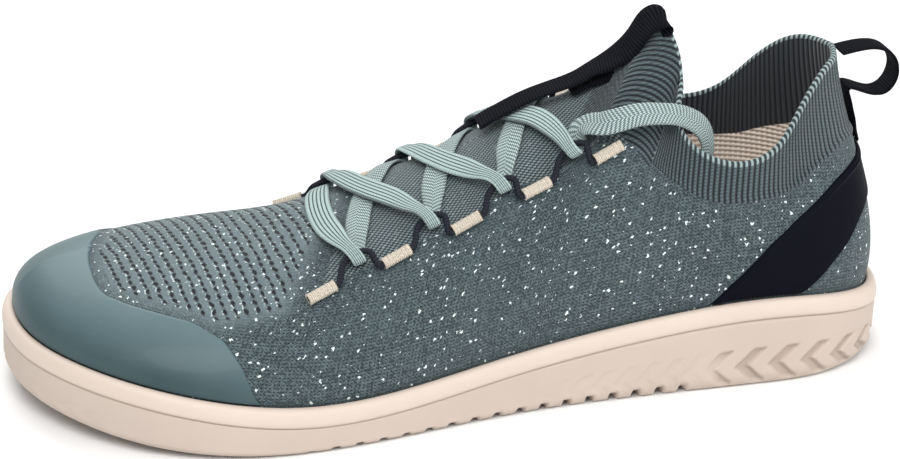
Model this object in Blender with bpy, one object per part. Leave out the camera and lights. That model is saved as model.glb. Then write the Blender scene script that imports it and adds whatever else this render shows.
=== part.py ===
"""Barefoot shoe for the left foot, standing empty on its sole.

The heel is at -X, the toe at +X, the outer (lateral) side at +Y and the ground at Z = 0, in metres.
Every piece is read from two functions: outline(), the plan of the sole, and skin(), the outside of
the knitted upper, which follows the last through sections from the sole's rim to the collar or ridge.
"""
import math

import bpy
import numpy as np

# The last
LENGTH = 0.285
BALL_WIDTH = 0.105
HEEL_TAB_HEIGHT = 0.1015
ANKLE_HEIGHT = 0.0750
TONGUE_HEIGHT = 0.1135
INSTEP_HEIGHT = 0.0880
VAMP_HEIGHT = 0.0545
TOE_HEIGHT = 0.0455
COLLAR_WIDTH = 0.060

# The knit, the sole and what lies between them
UPPER_WALL = 0.0020
GAP = 0.0003
RIM_HEIGHT = 0.0290
RIM_BAND = 0.0055
RIM_WIDTH = 0.0035
CUP_WALL = 0.0022
OUTSOLE_BASE = 0.0045
MIDSOLE_BASE = 0.0030
INSOLE_THICKNESS = 0.0030
TOE_SPRING = 0.0074
HEEL_LIFT = 0.0035
EDGE_ROUND = 0.0035
LUG_DEPTH = 0.0022
SIDE_LUG_DEPTH = 0.0012
FILM_THICKNESS = 0.0008
BAND_THICKNESS = 0.0008

# Lacing and loops
CORD_DIAMETER = 0.0020
LACE_WIDTH = 0.0082
LACE_PINCH = 0.0042
LACE_THICKNESS = 0.0011
TUNNEL_LENGTH = 0.0095
TUNNEL_DIAMETER = 0.0037
CORD_PLAY = 0.00030
FOLD_RUN = 0.0090
WEBBING_WIDTH = 0.0105
WEBBING_THICKNESS = 0.0012
HEEL_LOOP_REACH = 0.0192
HEEL_LOOP_HEIGHT = 0.0138
TONGUE_LOOP_REACH = 0.0052

# How finely the forms are divided: stations along each side, and the one at the tongue's tip
STATIONS = 39
TIP_STATION = 16
SOLE_STATIONS = 2 * STATIONS
TIP = TIP_STATION / STATIONS

# Plan of the sole from the heel round the outer side to the toe and back along the inner side:
# x as a share of LENGTH, y as a share of BALL_WIDTH
OUTLINE = [
    (0.000, 0.000), (0.028, 0.205), (0.090, 0.310), (0.180, 0.343), (0.320, 0.357), (0.460, 0.390),
    (0.600, 0.467), (0.710, 0.514), (0.800, 0.505), (0.880, 0.429), (0.945, 0.286), (0.990, 0.086),
    (1.000, -0.095), (0.985, -0.276), (0.930, -0.410), (0.840, -0.481), (0.720, -0.486), (0.600, -0.438),
    (0.460, -0.352), (0.340, -0.310), (0.200, -0.324), (0.100, -0.305), (0.030, -0.205),
]
TOE_ROW = 12

# Top of the sole's rim: x as a share of LENGTH, height as a share of RIM_HEIGHT
RIM = [(0.00, 0.80), (0.12, 1.00), (0.30, 0.93), (0.50, 0.655), (0.70, 0.51), (0.88, 0.75), (1.00, 0.88)]

# Sections of the upper, from the heel's back to the toe, the same for both sides. Each runs from the rim
# up to its top point, which is on the collar as far as TIP and on the ridge of the foot after it.
# station  share of the way from heel to toe
# x        top point, share of LENGTH
# half     top point off the middle, share of half COLLAR_WIDTH
# lean     top point towards the inner side, share of BALL_WIDTH
# z        top point's height
# low      lower handle, share of the section's height
# swell    lower handle outwards, share of BALL_WIDTH
# steep    upper handle, share of the section's height
# crown    upper handle, share of the section's width
SECTIONS = [
    (0.000, 0.070, 0.00, 0.000, HEEL_TAB_HEIGHT * 1.000, 0.33, 0.040, 0.34, 0.24),
    (0.050, 0.080, 0.30, 0.000, HEEL_TAB_HEIGHT * 0.993, 0.33, 0.040, 0.34, 0.24),
    (0.100, 0.103, 0.54, 0.000, HEEL_TAB_HEIGHT * 0.970, 0.34, 0.038, 0.34, 0.21),
    (0.150, 0.135, 0.76, 0.000, ANKLE_HEIGHT * 1.190, 0.36, 0.036, 0.34, 0.13),
    (0.190, 0.165, 0.92, 0.000, ANKLE_HEIGHT * 1.055, 0.38, 0.036, 0.34, 0.10),
    (0.230, 0.205, 1.00, 0.000, ANKLE_HEIGHT * 1.000, 0.40, 0.032, 0.34, 0.10),
    (0.265, 0.243, 0.98, 0.000, ANKLE_HEIGHT * 1.025, 0.40, 0.029, 0.34, 0.12),
    (0.300, 0.275, 0.86, 0.000, ANKLE_HEIGHT * 1.115, 0.41, 0.027, 0.31, 0.20),
    (0.330, 0.282, 0.70, 0.000, TONGUE_HEIGHT * 0.815, 0.42, 0.025, 0.26, 0.27),
    (0.360, 0.273, 0.53, 0.000, TONGUE_HEIGHT * 0.905, 0.43, 0.023, 0.18, 0.34),
    (0.390, 0.277, 0.24, 0.000, TONGUE_HEIGHT * 0.985, 0.44, 0.021, 0.08, 0.41),
    (TIP, 0.285, 0.00, 0.000, TONGUE_HEIGHT * 1.000, 0.45, 0.019, 0.02, 0.44),
    (0.450, 0.340, 0.00, 0.004, INSTEP_HEIGHT * 1.100, 0.46, 0.019, 0.00, 0.46),
    (0.500, 0.410, 0.00, 0.015, INSTEP_HEIGHT * 0.985, 0.46, 0.019, 0.00, 0.46),
    (0.560, 0.485, 0.00, 0.035, INSTEP_HEIGHT * 0.855, 0.46, 0.019, 0.00, 0.45),
    (0.640, 0.570, 0.00, 0.065, INSTEP_HEIGHT * 0.735, 0.44, 0.019, 0.00, 0.43),
    (0.720, 0.655, 0.00, 0.095, VAMP_HEIGHT * 1.010, 0.46, 0.019, 0.00, 0.44),
    (0.800, 0.740, 0.00, 0.120, VAMP_HEIGHT * 0.925, 0.52, 0.019, 0.00, 0.47),
    (0.900, 0.845, 0.00, 0.120, TOE_HEIGHT * 1.020, 0.60, 0.017, 0.00, 0.50),
    (1.000, 0.925, 0.00, 0.105, TOE_HEIGHT * 0.945, 0.66, 0.014, 0.00, 0.52),
]

# Rows of the upper's grid: -2 and -1 are inside the sole's cup, 0 is the rim, 1 the collar or ridge
LEVELS = [-2, -1, 0, 0.09, 0.20, 0.32, 0.44, 0.56, 0.68, 0.79, 0.90, 1.0]

# Upper edge of the toe film: station, level, one table for each side
CAP_EDGE = {
    1: [(0.698, 0.00), (0.703, 0.05), (0.718, 0.20), (0.743, 0.33), (0.777, 0.405), (0.810, 0.435),
        (0.845, 0.465), (0.878, 0.51), (0.896, 0.58), (0.928, 0.74), (0.958, 0.91), (0.966, 1.00), (1.0, 1.0)],
    -1: [(0.725, 0.00), (0.732, 0.05), (0.748, 0.17), (0.770, 0.28), (0.800, 0.36), (0.830, 0.42),
         (0.860, 0.50), (0.896, 0.70), (0.920, 0.79), (0.948, 0.89), (0.966, 1.00), (1.0, 1.0)],
}

# Edges of the heel band: station, level
BAND_TOP = [(0.0, 0.600), (0.035, 0.592), (0.080, 0.570), (0.112, 0.540), (0.140, 0.500), (0.172, 0.462),
            (0.198, 0.384), (0.220, 0.236), (0.242, 0.088), (0.256, 0.0)]
BAND_FOOT = [(0.0, 0.405), (0.030, 0.400), (0.060, 0.376), (0.084, 0.324), (0.106, 0.236), (0.126, 0.164),
             (0.146, 0.068), (0.162, 0.0), (0.256, 0.0)]
EDGE_START = 0.013

# Cord tunnels from the toe up: station and level of the end at the toe, then of the end at the heel
TUNNELS = [
    (0.677, 0.455, 0.650, 0.490), (0.608, 0.510, 0.580, 0.535), (0.540, 0.530, 0.512, 0.530),
    (0.478, 0.540, 0.453, 0.570), (0.410, 0.500, 0.388, 0.580),
]
# Where the lace folds round the cord, between each two tunnels: station, level, extra height over the knit
FOLDS = [(0.637, 0.570, 0.0), (0.566, 0.612, 0.0), (0.499, 0.603, 0.0), (0.435, 0.615, 0.0007)]


def spline(knots, values, at):
    """Natural cubic curve through values at the knots, read at any parameters."""
    knots = np.asarray(knots, float)
    values = np.asarray(values, float)
    at = np.asarray(at, float)
    if values.ndim == 1:
        return spline(knots, values[:, None], at)[..., 0]
    step = np.diff(knots)
    count = len(knots)
    matrix = np.eye(count)
    right = np.zeros_like(values)
    for i in range(1, count - 1):
        matrix[i, i - 1] = step[i - 1]
        matrix[i, i] = 2 * (step[i - 1] + step[i])
        matrix[i, i + 1] = step[i]
        right[i] = 6 * ((values[i + 1] - values[i]) / step[i] - (values[i] - values[i - 1]) / step[i - 1])
    bend = np.linalg.solve(matrix, right)
    i = np.clip(np.searchsorted(knots, at) - 1, 0, count - 2)
    a = ((knots[i + 1] - at) / step[i])[..., None]
    b = 1 - a
    room = step[i][..., None] ** 2 / 6
    return a * values[i] + b * values[i + 1] + ((a ** 3 - a) * bend[i] + (b ** 3 - b) * bend[i + 1]) * room


def unit(v):
    return v / np.maximum(np.linalg.norm(v, axis=-1, keepdims=True), 1e-12)


def smooth(x):
    x = np.clip(x, 0, 1)
    return x * x * (3 - 2 * x)


RING = np.array(OUTLINE) * [LENGTH, BALL_WIDTH]
WRAPPED = np.vstack([RING[-4:], RING, RING[:5]])
TRAVEL = np.concatenate([[0], np.cumsum(np.hypot(*np.diff(WRAPPED, axis=0).T))])
TRAVEL = TRAVEL - TRAVEL[4]
TO_TOE = TRAVEL[4 + TOE_ROW]
ROUND_TRIP = TRAVEL[4 + len(RING)]
TABLE = np.array(SECTIONS)


def outline(side, station, inset=0.0):
    """Plan point on the sole's outline at a station (0 heel, 1 toe) of one side, moved inwards by inset."""
    station = np.asarray(station, float)
    k = np.where(side > 0, station * TO_TOE, ROUND_TRIP - station * (ROUND_TRIP - TO_TOE))
    step = 0.001
    along = unit(spline(TRAVEL, WRAPPED, k + step) - spline(TRAVEL, WRAPPED, k - step))
    outward = np.stack([-along[..., 1], along[..., 0]], -1)
    return spline(TRAVEL, WRAPPED, k) - outward * np.asarray(inset)[..., None], outward


def rim_top(x):
    return spline([a * LENGTH for a, b in RIM], [b * RIM_HEIGHT for a, b in RIM], np.clip(x, 0, LENGTH))


def ground(x):
    """How far the tread lies above the floor: toe spring in front, a lift at the back of the heel."""
    toe = np.clip((x / LENGTH - 0.70) / 0.30, 0, 1.1)
    heel = np.clip((0.12 - x / LENGTH) / 0.12, 0, 1.1)
    return TOE_SPRING * toe ** 2 + HEEL_LIFT * heel ** 2


def floor_top(x):
    return ground(x) + OUTSOLE_BASE + GAP + MIDSOLE_BASE


def knee(x):
    """Height where the cup's inner wall turns from upright to leaning out towards the rim."""
    return floor_top(x) + 0.35 * (rim_top(x) - floor_top(x))


def top_line(side, station):
    """Top points of the sections: the collar's edge as far as TIP, the ridge of the foot after it."""
    row = spline(TABLE[:, 0], TABLE[:, 1:], station)
    half = np.where(station >= TIP - 1e-9, 0, np.maximum(row[..., 1], 0)) * COLLAR_WIDTH / 2
    y = side * half - row[..., 2] * BALL_WIDTH
    return np.stack([row[..., 0] * LENGTH, y, row[..., 3]], -1), row


CUP_INSET = 2 * CUP_WALL + 2 * GAP
TOP_INSET = RIM_WIDTH + GAP


def skin(side, station, level):
    """Outside of the upper. From level 0 to 1 it is one cubic curve a section: up and out from the rim,
    then in over the foot, with its end handle in the plane of the ridge, so the two sides meet smoothly."""
    station = np.asarray(station, float)
    level = np.asarray(level, float)
    top, row = top_line(side, station)
    plan, outward = outline(side, station, TOP_INSET)
    foot = np.concatenate([plan, rim_top(plan[..., 0])[..., None]], -1)
    up = np.array([0, 0, 1.0])
    out = np.concatenate([outward, np.zeros_like(outward[..., :1])], -1)
    height = (top - foot)[..., 2:3]
    across = (foot - top) * [1, 1, 0]
    near = np.clip(station, TIP + 0.002, 0.998)
    ridge = top_line(side, near + 0.001)[0] - top_line(side, near - 0.001)[0]
    fall = ridge[..., 2] / (ridge[..., 0] ** 2 + ridge[..., 1] ** 2)
    weight = smooth((station - 0.28) / (TIP - 0.28))
    lean = (across[..., 0] * ridge[..., 0] + across[..., 1] * ridge[..., 1]) * fall * weight
    one = foot + up * row[..., 4:5] * height + out * row[..., 5:6] * BALL_WIDTH
    two = top - up * row[..., 6:7] * height + across * row[..., 7:8] + up * (lean[..., None] * row[..., 7:8])
    t = np.clip(level, 0, 1)[..., None]
    point = (1 - t) ** 3 * foot + 3 * t * (1 - t) ** 2 * one + 3 * t * t * (1 - t) * two + t ** 3 * top
    inner, _ = outline(side, station, CUP_INSET)
    low = np.where(level < -1.5, floor_top(inner[..., 0]) + GAP, knee(inner[..., 0]))
    under = np.concatenate([inner, low[..., None]], -1)
    return np.where(level[..., None] < -0.5, under, point)


def skin_normal(side, station, level):
    """Outward normal of the upper from small steps along and up it."""
    s = np.clip(station, 0.004, 0.996)
    t = np.clip(level, 0.004, 0.996)
    along = skin(side, s + 0.003, t) - skin(side, s - 0.003, t)
    up = skin(side, s, t + 0.003) - skin(side, s, t - 0.003)
    return unit(np.cross(up, along) * np.reshape(side, np.shape(side) + (1,)))


SEED_SIDE, SEED_S, SEED_T = [a.ravel() for a in np.meshgrid([1.0, -1.0], np.linspace(0.32, 0.8, 90),
                                                         np.linspace(0.3, 1, 70), indexing="ij")]
SEED_POINT = skin(SEED_SIDE, SEED_S, SEED_T)


def drop(plan):
    """The point of the upper straight above or below each plan point, and its normal, by Newton's steps."""
    gap = ((SEED_POINT[None, :, :2] - plan[:, None, :]) ** 2).sum(-1)
    best = gap.argmin(1)
    side = SEED_SIDE[best]
    s = SEED_S[best]
    t = SEED_T[best]
    h = 0.0005
    for _ in range(8):
        here = skin(side, s, t)[:, :2]
        ds = (skin(side, s + h, t)[:, :2] - here) / h
        dt = (here - skin(side, s, t - h)[:, :2]) / h
        miss = plan - here
        det = ds[:, 0] * dt[:, 1] - ds[:, 1] * dt[:, 0]
        s = np.clip(s + (miss[:, 0] * dt[:, 1] - miss[:, 1] * dt[:, 0]) / det, 0.30, 0.82)
        t = np.clip(t + (ds[:, 0] * miss[:, 1] - ds[:, 1] * miss[:, 0]) / det, 0.25, 1.0)
    return skin(side, s, t), skin_normal(side, s, t)


# Making meshes
bpy.context.scene.unit_settings.system = "METRIC"
for old in list(bpy.data.objects):
    bpy.data.objects.remove(old, do_unlink=True)
SHOE = bpy.data.collections.new("barefoot_shoe")
bpy.context.scene.collection.children.link(SHOE)


def material(name, colour, roughness, metallic=0.0):
    made = bpy.data.materials.new(name)
    made.use_nodes = True
    shader = made.node_tree.nodes["Principled BSDF"]
    shader.inputs["Base Color"].default_value = (*colour, 1)
    shader.inputs["Roughness"].default_value = roughness
    shader.inputs["Metallic"].default_value = metallic
    made.diffuse_color = (*colour, 1)
    return made


def add(name, points, faces, colour, roughness):
    """A closed mesh as a named object: equal points are joined, flat slivers dropped, faces turned out."""
    points = np.asarray(points, float)
    keys = np.round(points * 1e7).astype(np.int64)
    _, first, back = np.unique(keys, axis=0, return_index=True, return_inverse=True)
    back = back.ravel()
    clean = []
    for face in faces:
        ring = []
        for corner in face:
            new = int(back[corner])
            if new not in ring:
                ring.append(new)
        if len(ring) > 2:
            clean.append(ring)
    mesh = bpy.data.meshes.new(name)
    mesh.from_pydata(points[first].tolist(), [], clean)
    piece = bpy.data.objects.new(name, mesh)
    SHOE.objects.link(piece)
    mesh.materials.append(material(name + "_material", colour, roughness))
    tris = [(r[0], r[i], r[i + 1]) for r in clean for i in range(1, len(r) - 1)]
    a, b, c = [points[first][[t[k] for t in tris]] for k in range(3)]
    if (np.cross(a, b) * c).sum() < 0:
        mesh.flip_normals()
    return piece


def strip(a, b, closed=True):
    """Faces between two rows of vertex numbers."""
    count = len(a)
    last = count if closed else count - 1
    return [(a[i], a[(i + 1) % count], b[(i + 1) % count], b[i]) for i in range(last)]


def loop_stations(count):
    """Stations once round the shoe: the outer side from heel to toe, then the inner side back."""
    share = np.arange(count + 1) / count
    side = np.concatenate([np.ones(count + 1), -np.ones(count - 1)])
    return side, np.concatenate([share, share[-2:0:-1]])


def ladder(ring, turn):
    """Faces that close a ring made by loop_stations, each station joined to the one across from it."""
    count = len(ring)
    half = count // 2
    faces = []
    for i in range(half):
        quad = (ring[i], ring[i + 1], ring[(count - i - 1) % count], ring[(count - i) % count])
        faces.append(quad[::turn])
    return faces


def rings_to_mesh(rings, caps):
    """Points and faces of stacked rings, with the first and the last ring closed by ladders."""
    count = len(rings[0])
    points = np.vstack(rings)
    faces = []
    for k in range(len(rings) - 1):
        faces += strip(range(k * count, (k + 1) * count), range((k + 1) * count, (k + 2) * count))
    if caps:
        faces += ladder(list(range(count)), -1)
        faces += ladder(list(range((len(rings) - 1) * count, len(rings) * count)), 1)
    return points, faces


def ring(count, inset, height):
    """One ring of the sole. Height is a function of x."""
    side, station = loop_stations(count)
    plan, _ = outline(side, station, inset)
    return np.column_stack([plan, height(plan[:, 0])])


# The sole
def tread(station, shift=0):
    """1 in the grooves of the tread, 0 on the lands between them: every third station is a groove."""
    number = np.round(station * SOLE_STATIONS).astype(int)
    return ((number + shift) % 3 == 0).astype(float) * smooth((station - 0.03) / 0.04) * smooth((0.97 - station) / 0.05)


def make_outsole():
    side, station = loop_stations(SOLE_STATIONS)
    groove = tread(station)
    zigzag = tread(station, 1)
    heel = smooth((0.34 - station) / 0.10)
    ankle_side = smooth((0.62 - station) / 0.10)
    seam = lambda x: rim_top(x) - RIM_BAND - GAP
    inner = ring(SOLE_STATIONS, CUP_WALL, lambda x: ground(x) + OUTSOLE_BASE)
    rings = [inner]
    rings.append(ring(SOLE_STATIONS, CUP_WALL, seam))
    rings.append(ring(SOLE_STATIONS, 0.0, seam))
    high = lambda x: ground(x) + 0.72 * (seam(x) - ground(x))
    mid = lambda x: ground(x) + 0.42 * (seam(x) - ground(x))
    low = lambda x: ground(x) + 0.16 * (seam(x) - ground(x))
    rings.append(ring(SOLE_STATIONS, SIDE_LUG_DEPTH * groove * heel, high))
    rings.append(ring(SOLE_STATIONS, 0.0002 + SIDE_LUG_DEPTH * zigzag * heel, mid))
    rings.append(ring(SOLE_STATIONS, 0.3 * EDGE_ROUND + SIDE_LUG_DEPTH * groove * ankle_side, low))
    edge = ring(SOLE_STATIONS, EDGE_ROUND, ground)
    edge[:, 2] += LUG_DEPTH * groove
    rings.append(edge)
    points = np.vstack(rings)
    count = 2 * SOLE_STATIONS
    faces = []
    for k in range(len(rings) - 1):
        faces += strip(range(k * count, (k + 1) * count), range((k + 1) * count, (k + 2) * count))
    faces += ladder(list(range(count)), -1)
    last = (len(rings) - 1) * count
    rows = []
    extra = []
    for i in range(1, SOLE_STATIONS):
        outer = edge[i]
        inner_edge = edge[count - i]
        row = [last + i]
        for share in (0.25, 0.5, 0.75):
            spot = outer + (inner_edge - outer) * share
            fore = (0.5 - abs(share - 0.5)) * 0.085 * LENGTH * smooth((station[i] - 0.02) / 0.1)
            spot[0] = spot[0] + fore * smooth((0.98 - station[i]) / 0.1)
            spot[2] = ground(spot[0]) + LUG_DEPTH * groove[i]
            row.append(len(points) + len(extra))
            extra.append(spot)
        row.append(last + count - i)
        rows.append(row)
    points = np.vstack([points, extra])
    for a, b in zip(rows[:-1], rows[1:]):
        faces += [(a[k], b[k], b[k + 1], a[k + 1]) for k in range(4)]
    faces += [(last, rows[0][k], rows[0][k + 1]) for k in range(4)]
    faces += [(rows[-1][k], last + SOLE_STATIONS, rows[-1][k + 1]) for k in range(4)]
    return add("outsole", points, faces, (0.62, 0.52, 0.43), 0.75)


def make_midsole():
    wall = CUP_WALL + GAP
    seam = lambda x: rim_top(x) - RIM_BAND
    base = lambda x: ground(x) + OUTSOLE_BASE + GAP
    rings = [
        ring(STATIONS, CUP_INSET - GAP, floor_top), ring(STATIONS, CUP_INSET - GAP, knee),
        ring(STATIONS, RIM_WIDTH, rim_top), ring(STATIONS, 0.45 * RIM_WIDTH, rim_top),
        ring(STATIONS, 0.06 * RIM_WIDTH, lambda x: rim_top(x) - 0.26 * RIM_BAND),
        ring(STATIONS, -0.06 * RIM_WIDTH, lambda x: rim_top(x) - 0.62 * RIM_BAND),
        ring(STATIONS, 0.0, seam), ring(STATIONS, wall, seam), ring(STATIONS, wall, base),
    ]
    points, faces = rings_to_mesh(rings, True)
    return add("midsole", points, faces, (0.70, 0.60, 0.51), 0.6)


def make_insole():
    inset = CUP_INSET + UPPER_WALL + 2 * GAP
    low = lambda x: floor_top(x) + GAP
    high = lambda x: floor_top(x) + GAP + INSOLE_THICKNESS
    points, faces = rings_to_mesh([ring(STATIONS, inset, low), ring(STATIONS, inset, high)], True)
    return add("insole", points, faces, (0.66, 0.56, 0.47), 0.9)


# The knit and what is fused on it
def patch(stations, levels, low=None, high=None):
    """Both sides of the skin over a range of stations, as joined points, faces and their mean normals.
    low and high give the levels between which each side is kept."""
    found = []
    faces = []
    for side in (1, -1):
        grid = []
        for s in stations:
            lo = -9 if low is None else low(side, s)
            hi = 9 if high is None else high(side, s)
            grid.append(np.clip(levels, lo, hi))
        grid = np.array(grid)
        start = sum(len(f) for f in found)
        s = np.repeat(np.array(stations)[:, None], len(levels), 1)
        found.append(skin(np.full(s.shape, float(side)), s, grid).reshape(-1, 3))
        for i in range(len(stations) - 1):
            for j in range(len(levels) - 1):
                a = start + i * len(levels) + j
                quad = [a, a + 1, a + len(levels) + 1, a + len(levels)]
                faces.append(quad if side > 0 else quad[::-1])
    points = np.vstack(found)
    keys = np.round(points * 1e6).astype(np.int64)
    _, first, back = np.unique(keys, axis=0, return_index=True, return_inverse=True)
    back = back.ravel()
    points = points[first]
    joined = []
    normal = np.zeros_like(points)
    for face in faces:
        loop = []
        for corner in face:
            new = int(back[corner])
            if new not in loop:
                loop.append(new)
        if len(loop) > 2:
            joined.append(loop)
            p = points[loop]
            push = np.cross(p[2] - p[0], p[-1] - p[1] if len(loop) > 3 else p[1] - p[0])
            normal[loop] += push
    return points, joined, unit(normal)


def shell(name, points, faces, normal, inside, outside, colour, roughness):
    """A sheet made solid between two distances from its points, closed round every open edge."""
    count = len(points)
    both = np.vstack([points + normal * outside, points + normal * inside])
    seen = {}
    for face in faces:
        for a, b in zip(face, face[1:] + face[:1]):
            seen[(a, b)] = 1
    solid = [list(f) for f in faces] + [[c + count for c in f[::-1]] for f in faces]
    for a, b in seen:
        if (b, a) not in seen:
            solid.append([b, a, a + count, b + count])
    return add(name, both, solid, colour, roughness)


def outwards(points, faces, normal):
    """The same normals, turned away from the middle of the foot if need be."""
    middle = np.array([LENGTH / 2, 0, 0.2 * TONGUE_HEIGHT])
    return normal if ((points - middle) * normal).sum() > 0 else -normal


def make_upper():
    points, faces, normal = patch(np.arange(STATIONS + 1) / STATIONS, LEVELS)
    normal = outwards(points, faces, normal)
    lowest = points[:, 2] < rim_top(points[:, 0]) - 1e-5
    normal[lowest] = unit(normal[lowest] * [1, 1, 0])
    return shell("upper", points, faces, normal, -UPPER_WALL, 0.0, (0.13, 0.20, 0.21), 0.9)


def edge_level(table, station):
    table = np.array(table)
    return float(np.interp(station, table[:, 0], table[:, 1]))


def make_toe_film():
    first = CAP_EDGE[1][0][0]
    stations = [first] + [i / STATIONS for i in range(STATIONS + 1) if i / STATIONS > first + 0.004]
    high = lambda side, s: max(edge_level(CAP_EDGE[side], s), EDGE_START)
    points, faces, normal = patch(stations, LEVELS[2:], lambda side, s: EDGE_START, high)
    normal = outwards(points, faces, normal)
    return shell("toe_film", points, faces, normal, GAP, GAP + FILM_THICKNESS, (0.20, 0.29, 0.31), 0.45)


def make_heel_band():
    last = BAND_TOP[-1][0]
    stations = [i / STATIONS for i in range(STATIONS + 1) if i / STATIONS < last - 0.004] + [last]
    low = lambda side, s: max(edge_level(BAND_FOOT, s), EDGE_START)
    high = lambda side, s: max(edge_level(BAND_TOP, s), EDGE_START)
    points, faces, normal = patch(stations, LEVELS[2:], low, high)
    normal = outwards(points, faces, normal)
    return shell("heel_band", points, faces, normal, GAP, GAP + BAND_THICKNESS, (0.012, 0.014, 0.022), 0.6)


# Lacing
def sweep(name, path, facing, width, thickness, colour, roughness):
    """A flat ribbon along a path. facing is its normal at each point, width one value or one a point."""
    path = np.array(path)
    along = unit(np.gradient(path, axis=0))
    facing = np.array(facing)
    facing = unit(facing - along * (facing * along).sum(-1, keepdims=True))
    across = np.cross(along, facing)
    half = np.broadcast_to(np.asarray(width) / 2, (len(path),))[:, None]
    corners = []
    for w, f in ((1, 1), (-1, 1), (-1, -1), (1, -1)):
        corners.append(path + across * half * w + facing * f * thickness / 2)
    points = np.stack(corners, 1).reshape(-1, 3)
    faces = []
    for i in range(len(path) - 1):
        for k in range(4):
            a = i * 4 + k
            b = i * 4 + (k + 1) % 4
            faces.append((a, b, b + 4, a + 4))
    faces.append((3, 2, 1, 0))
    end = 4 * (len(path) - 1)
    faces.append((end, end + 1, end + 2, end + 3))
    return add(name, points, faces, colour, roughness)


def tube_points(path, radius, sides, turn=None):
    """Rings of points round a path, carried along it without twist."""
    path = np.array(path)
    along = unit(np.gradient(path, axis=0))
    start = np.array([0, 0, 1.0]) if turn is None else np.array(turn)
    across = unit(start - along[0] * (start * along[0]).sum())
    rings = []
    for p, t in zip(path, along):
        across = unit(across - t * (across * t).sum())
        other = np.cross(t, across)
        angle = np.arange(sides) / sides * 2 * math.pi
        rings.append(p + radius * (np.cos(angle)[:, None] * across + np.sin(angle)[:, None] * other))
    return rings


def eyes(side):
    """Ends, axis and middle of each cord tunnel of one side, with its normal."""
    found = []
    for s0, t0, s1, t1 in TUNNELS:
        s = np.array([s0, s1])
        t = np.array([t0, t1])
        spots = skin(float(side), s, t)
        normal = unit(skin_normal(float(side), s, t).sum(0))
        middle = spots.mean(0) + normal * (GAP * 1.6 + TUNNEL_DIAMETER / 2)
        axis = unit(spots[1] - spots[0])
        found.append((middle - axis * TUNNEL_LENGTH / 2, middle + axis * TUNNEL_LENGTH / 2, axis, normal))
    return found


FOLD_RADIUS = CORD_DIAMETER / 2 + GAP + 0.0004 + LACE_THICKNESS / 2
LEG_UNDER = GAP + 0.0002 + LACE_THICKNESS / 2
LEG_OVER = LEG_UNDER + LACE_THICKNESS + GAP + 0.0003
CORD_LIFT = LEG_UNDER + FOLD_RADIUS


def fold(side, number):
    """Centre of a fold of the lace, its axis along the cord towards the heel, the skin's normal, and the
    direction away from the ridge."""
    station, level, extra = FOLDS[number - 1]
    spot = skin(float(side), np.array(station), np.array(level))
    normal = skin_normal(float(side), np.array(station), np.array(level))
    ends = eyes(side)
    axis = unit(ends[number][0] - ends[number - 1][1])
    axis = unit(axis - normal * (axis * normal).sum())
    away = np.cross(normal, axis)
    away = away * (1 if away[1] * side > 0 else -1)
    return spot + normal * (CORD_LIFT + extra), axis, normal, away


def hermite(a, b, da, db, count):
    t = np.linspace(0, 1, count + 1)[:, None]
    return ((2 * t ** 3 - 3 * t ** 2 + 1) * a + (t ** 3 - 2 * t ** 2 + t) * da
            + (3 * t ** 2 - 2 * t ** 3) * b + (t ** 3 - t ** 2) * db)


def make_cord(side, name):
    """One elastic cord a side: through its tunnels, and up to the lace between each two of them."""
    ends = eyes(side)
    path = []
    for number, (start, end, axis, normal) in enumerate(ends):
        spare = CORD_DIAMETER * 0.7
        path += [start + axis * 0.0004] if number == 0 else [start - axis * spare, start + axis * spare]
        path += [end - axis * 0.0004] if number == len(ends) - 1 else [end - axis * spare, end + axis * spare]
        end = end + axis * spare
        if number < len(ends) - 1:
            centre, run, up, away = fold(side, number + 1)
            a = centre - run * FOLD_RUN / 2
            b = centre + run * FOLD_RUN / 2
            following = ends[number + 1][0] - ends[number + 1][2] * spare
            reach = 1.6 * np.linalg.norm(a - end)
            path += list(hermite(end, a, axis * reach * 0.5, run * reach * 0.5, 4)[1:])
            reach = 1.6 * np.linalg.norm(following - b)
            path += list(hermite(b, following, run * reach * 0.5, ends[number + 1][2] * reach * 0.5, 4)[:-1])
    rings = tube_points(path, CORD_DIAMETER / 2, 6, ends[0][3])
    count = 6
    points = np.vstack(rings)
    faces = []
    for k in range(len(rings) - 1):
        faces += strip(range(k * count, (k + 1) * count), range((k + 1) * count, (k + 2) * count))
    faces.append(tuple(range(count - 1, -1, -1)))
    faces.append(tuple(range((len(rings) - 1) * count, len(rings) * count)))
    return add(name, points, faces, (0.010, 0.012, 0.020), 0.7)


def make_tunnels(side, name):
    """Thread-wrapped tubes that the cord runs through, six-sided."""
    for number, (start, end, axis, normal) in enumerate(eyes(side), 1):
        outer = tube_points([start, end], TUNNEL_DIAMETER / 2, 6, normal)
        inner = tube_points([start, end], CORD_DIAMETER / 2 + CORD_PLAY, 6, normal)
        points = np.vstack(outer + inner)
        faces = strip(range(0, 6), range(6, 12)) + strip(range(18, 24), range(12, 18))
        faces += strip(range(12, 18), range(0, 6)) + strip(range(6, 12), range(18, 24))
        add("%s_%d" % (name, number), points, faces, (0.78, 0.72, 0.60), 0.7)


# The lace from its near end: side of each fold, its number counted from the toe, and whether the lace
# comes to it above the cord
ROUTE = [(1, 4, False), (-1, 3, True), (1, 2, False), (-1, 1, True), (1, 1, True), (-1, 2, False), (1, 3, True),
         (-1, 4, False)]
# Legs between them: height of the leg over the ridge
LEG_HEIGHT = [LEG_OVER, LEG_UNDER, LEG_OVER, LEG_UNDER, LEG_UNDER, LEG_OVER, LEG_UNDER]
# How far the middle of each leg bows towards the toe
LEG_BOW = [0.0035, 0.0045, 0.0055, 0.0070, 0.0055, 0.0055, 0.0035]


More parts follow.
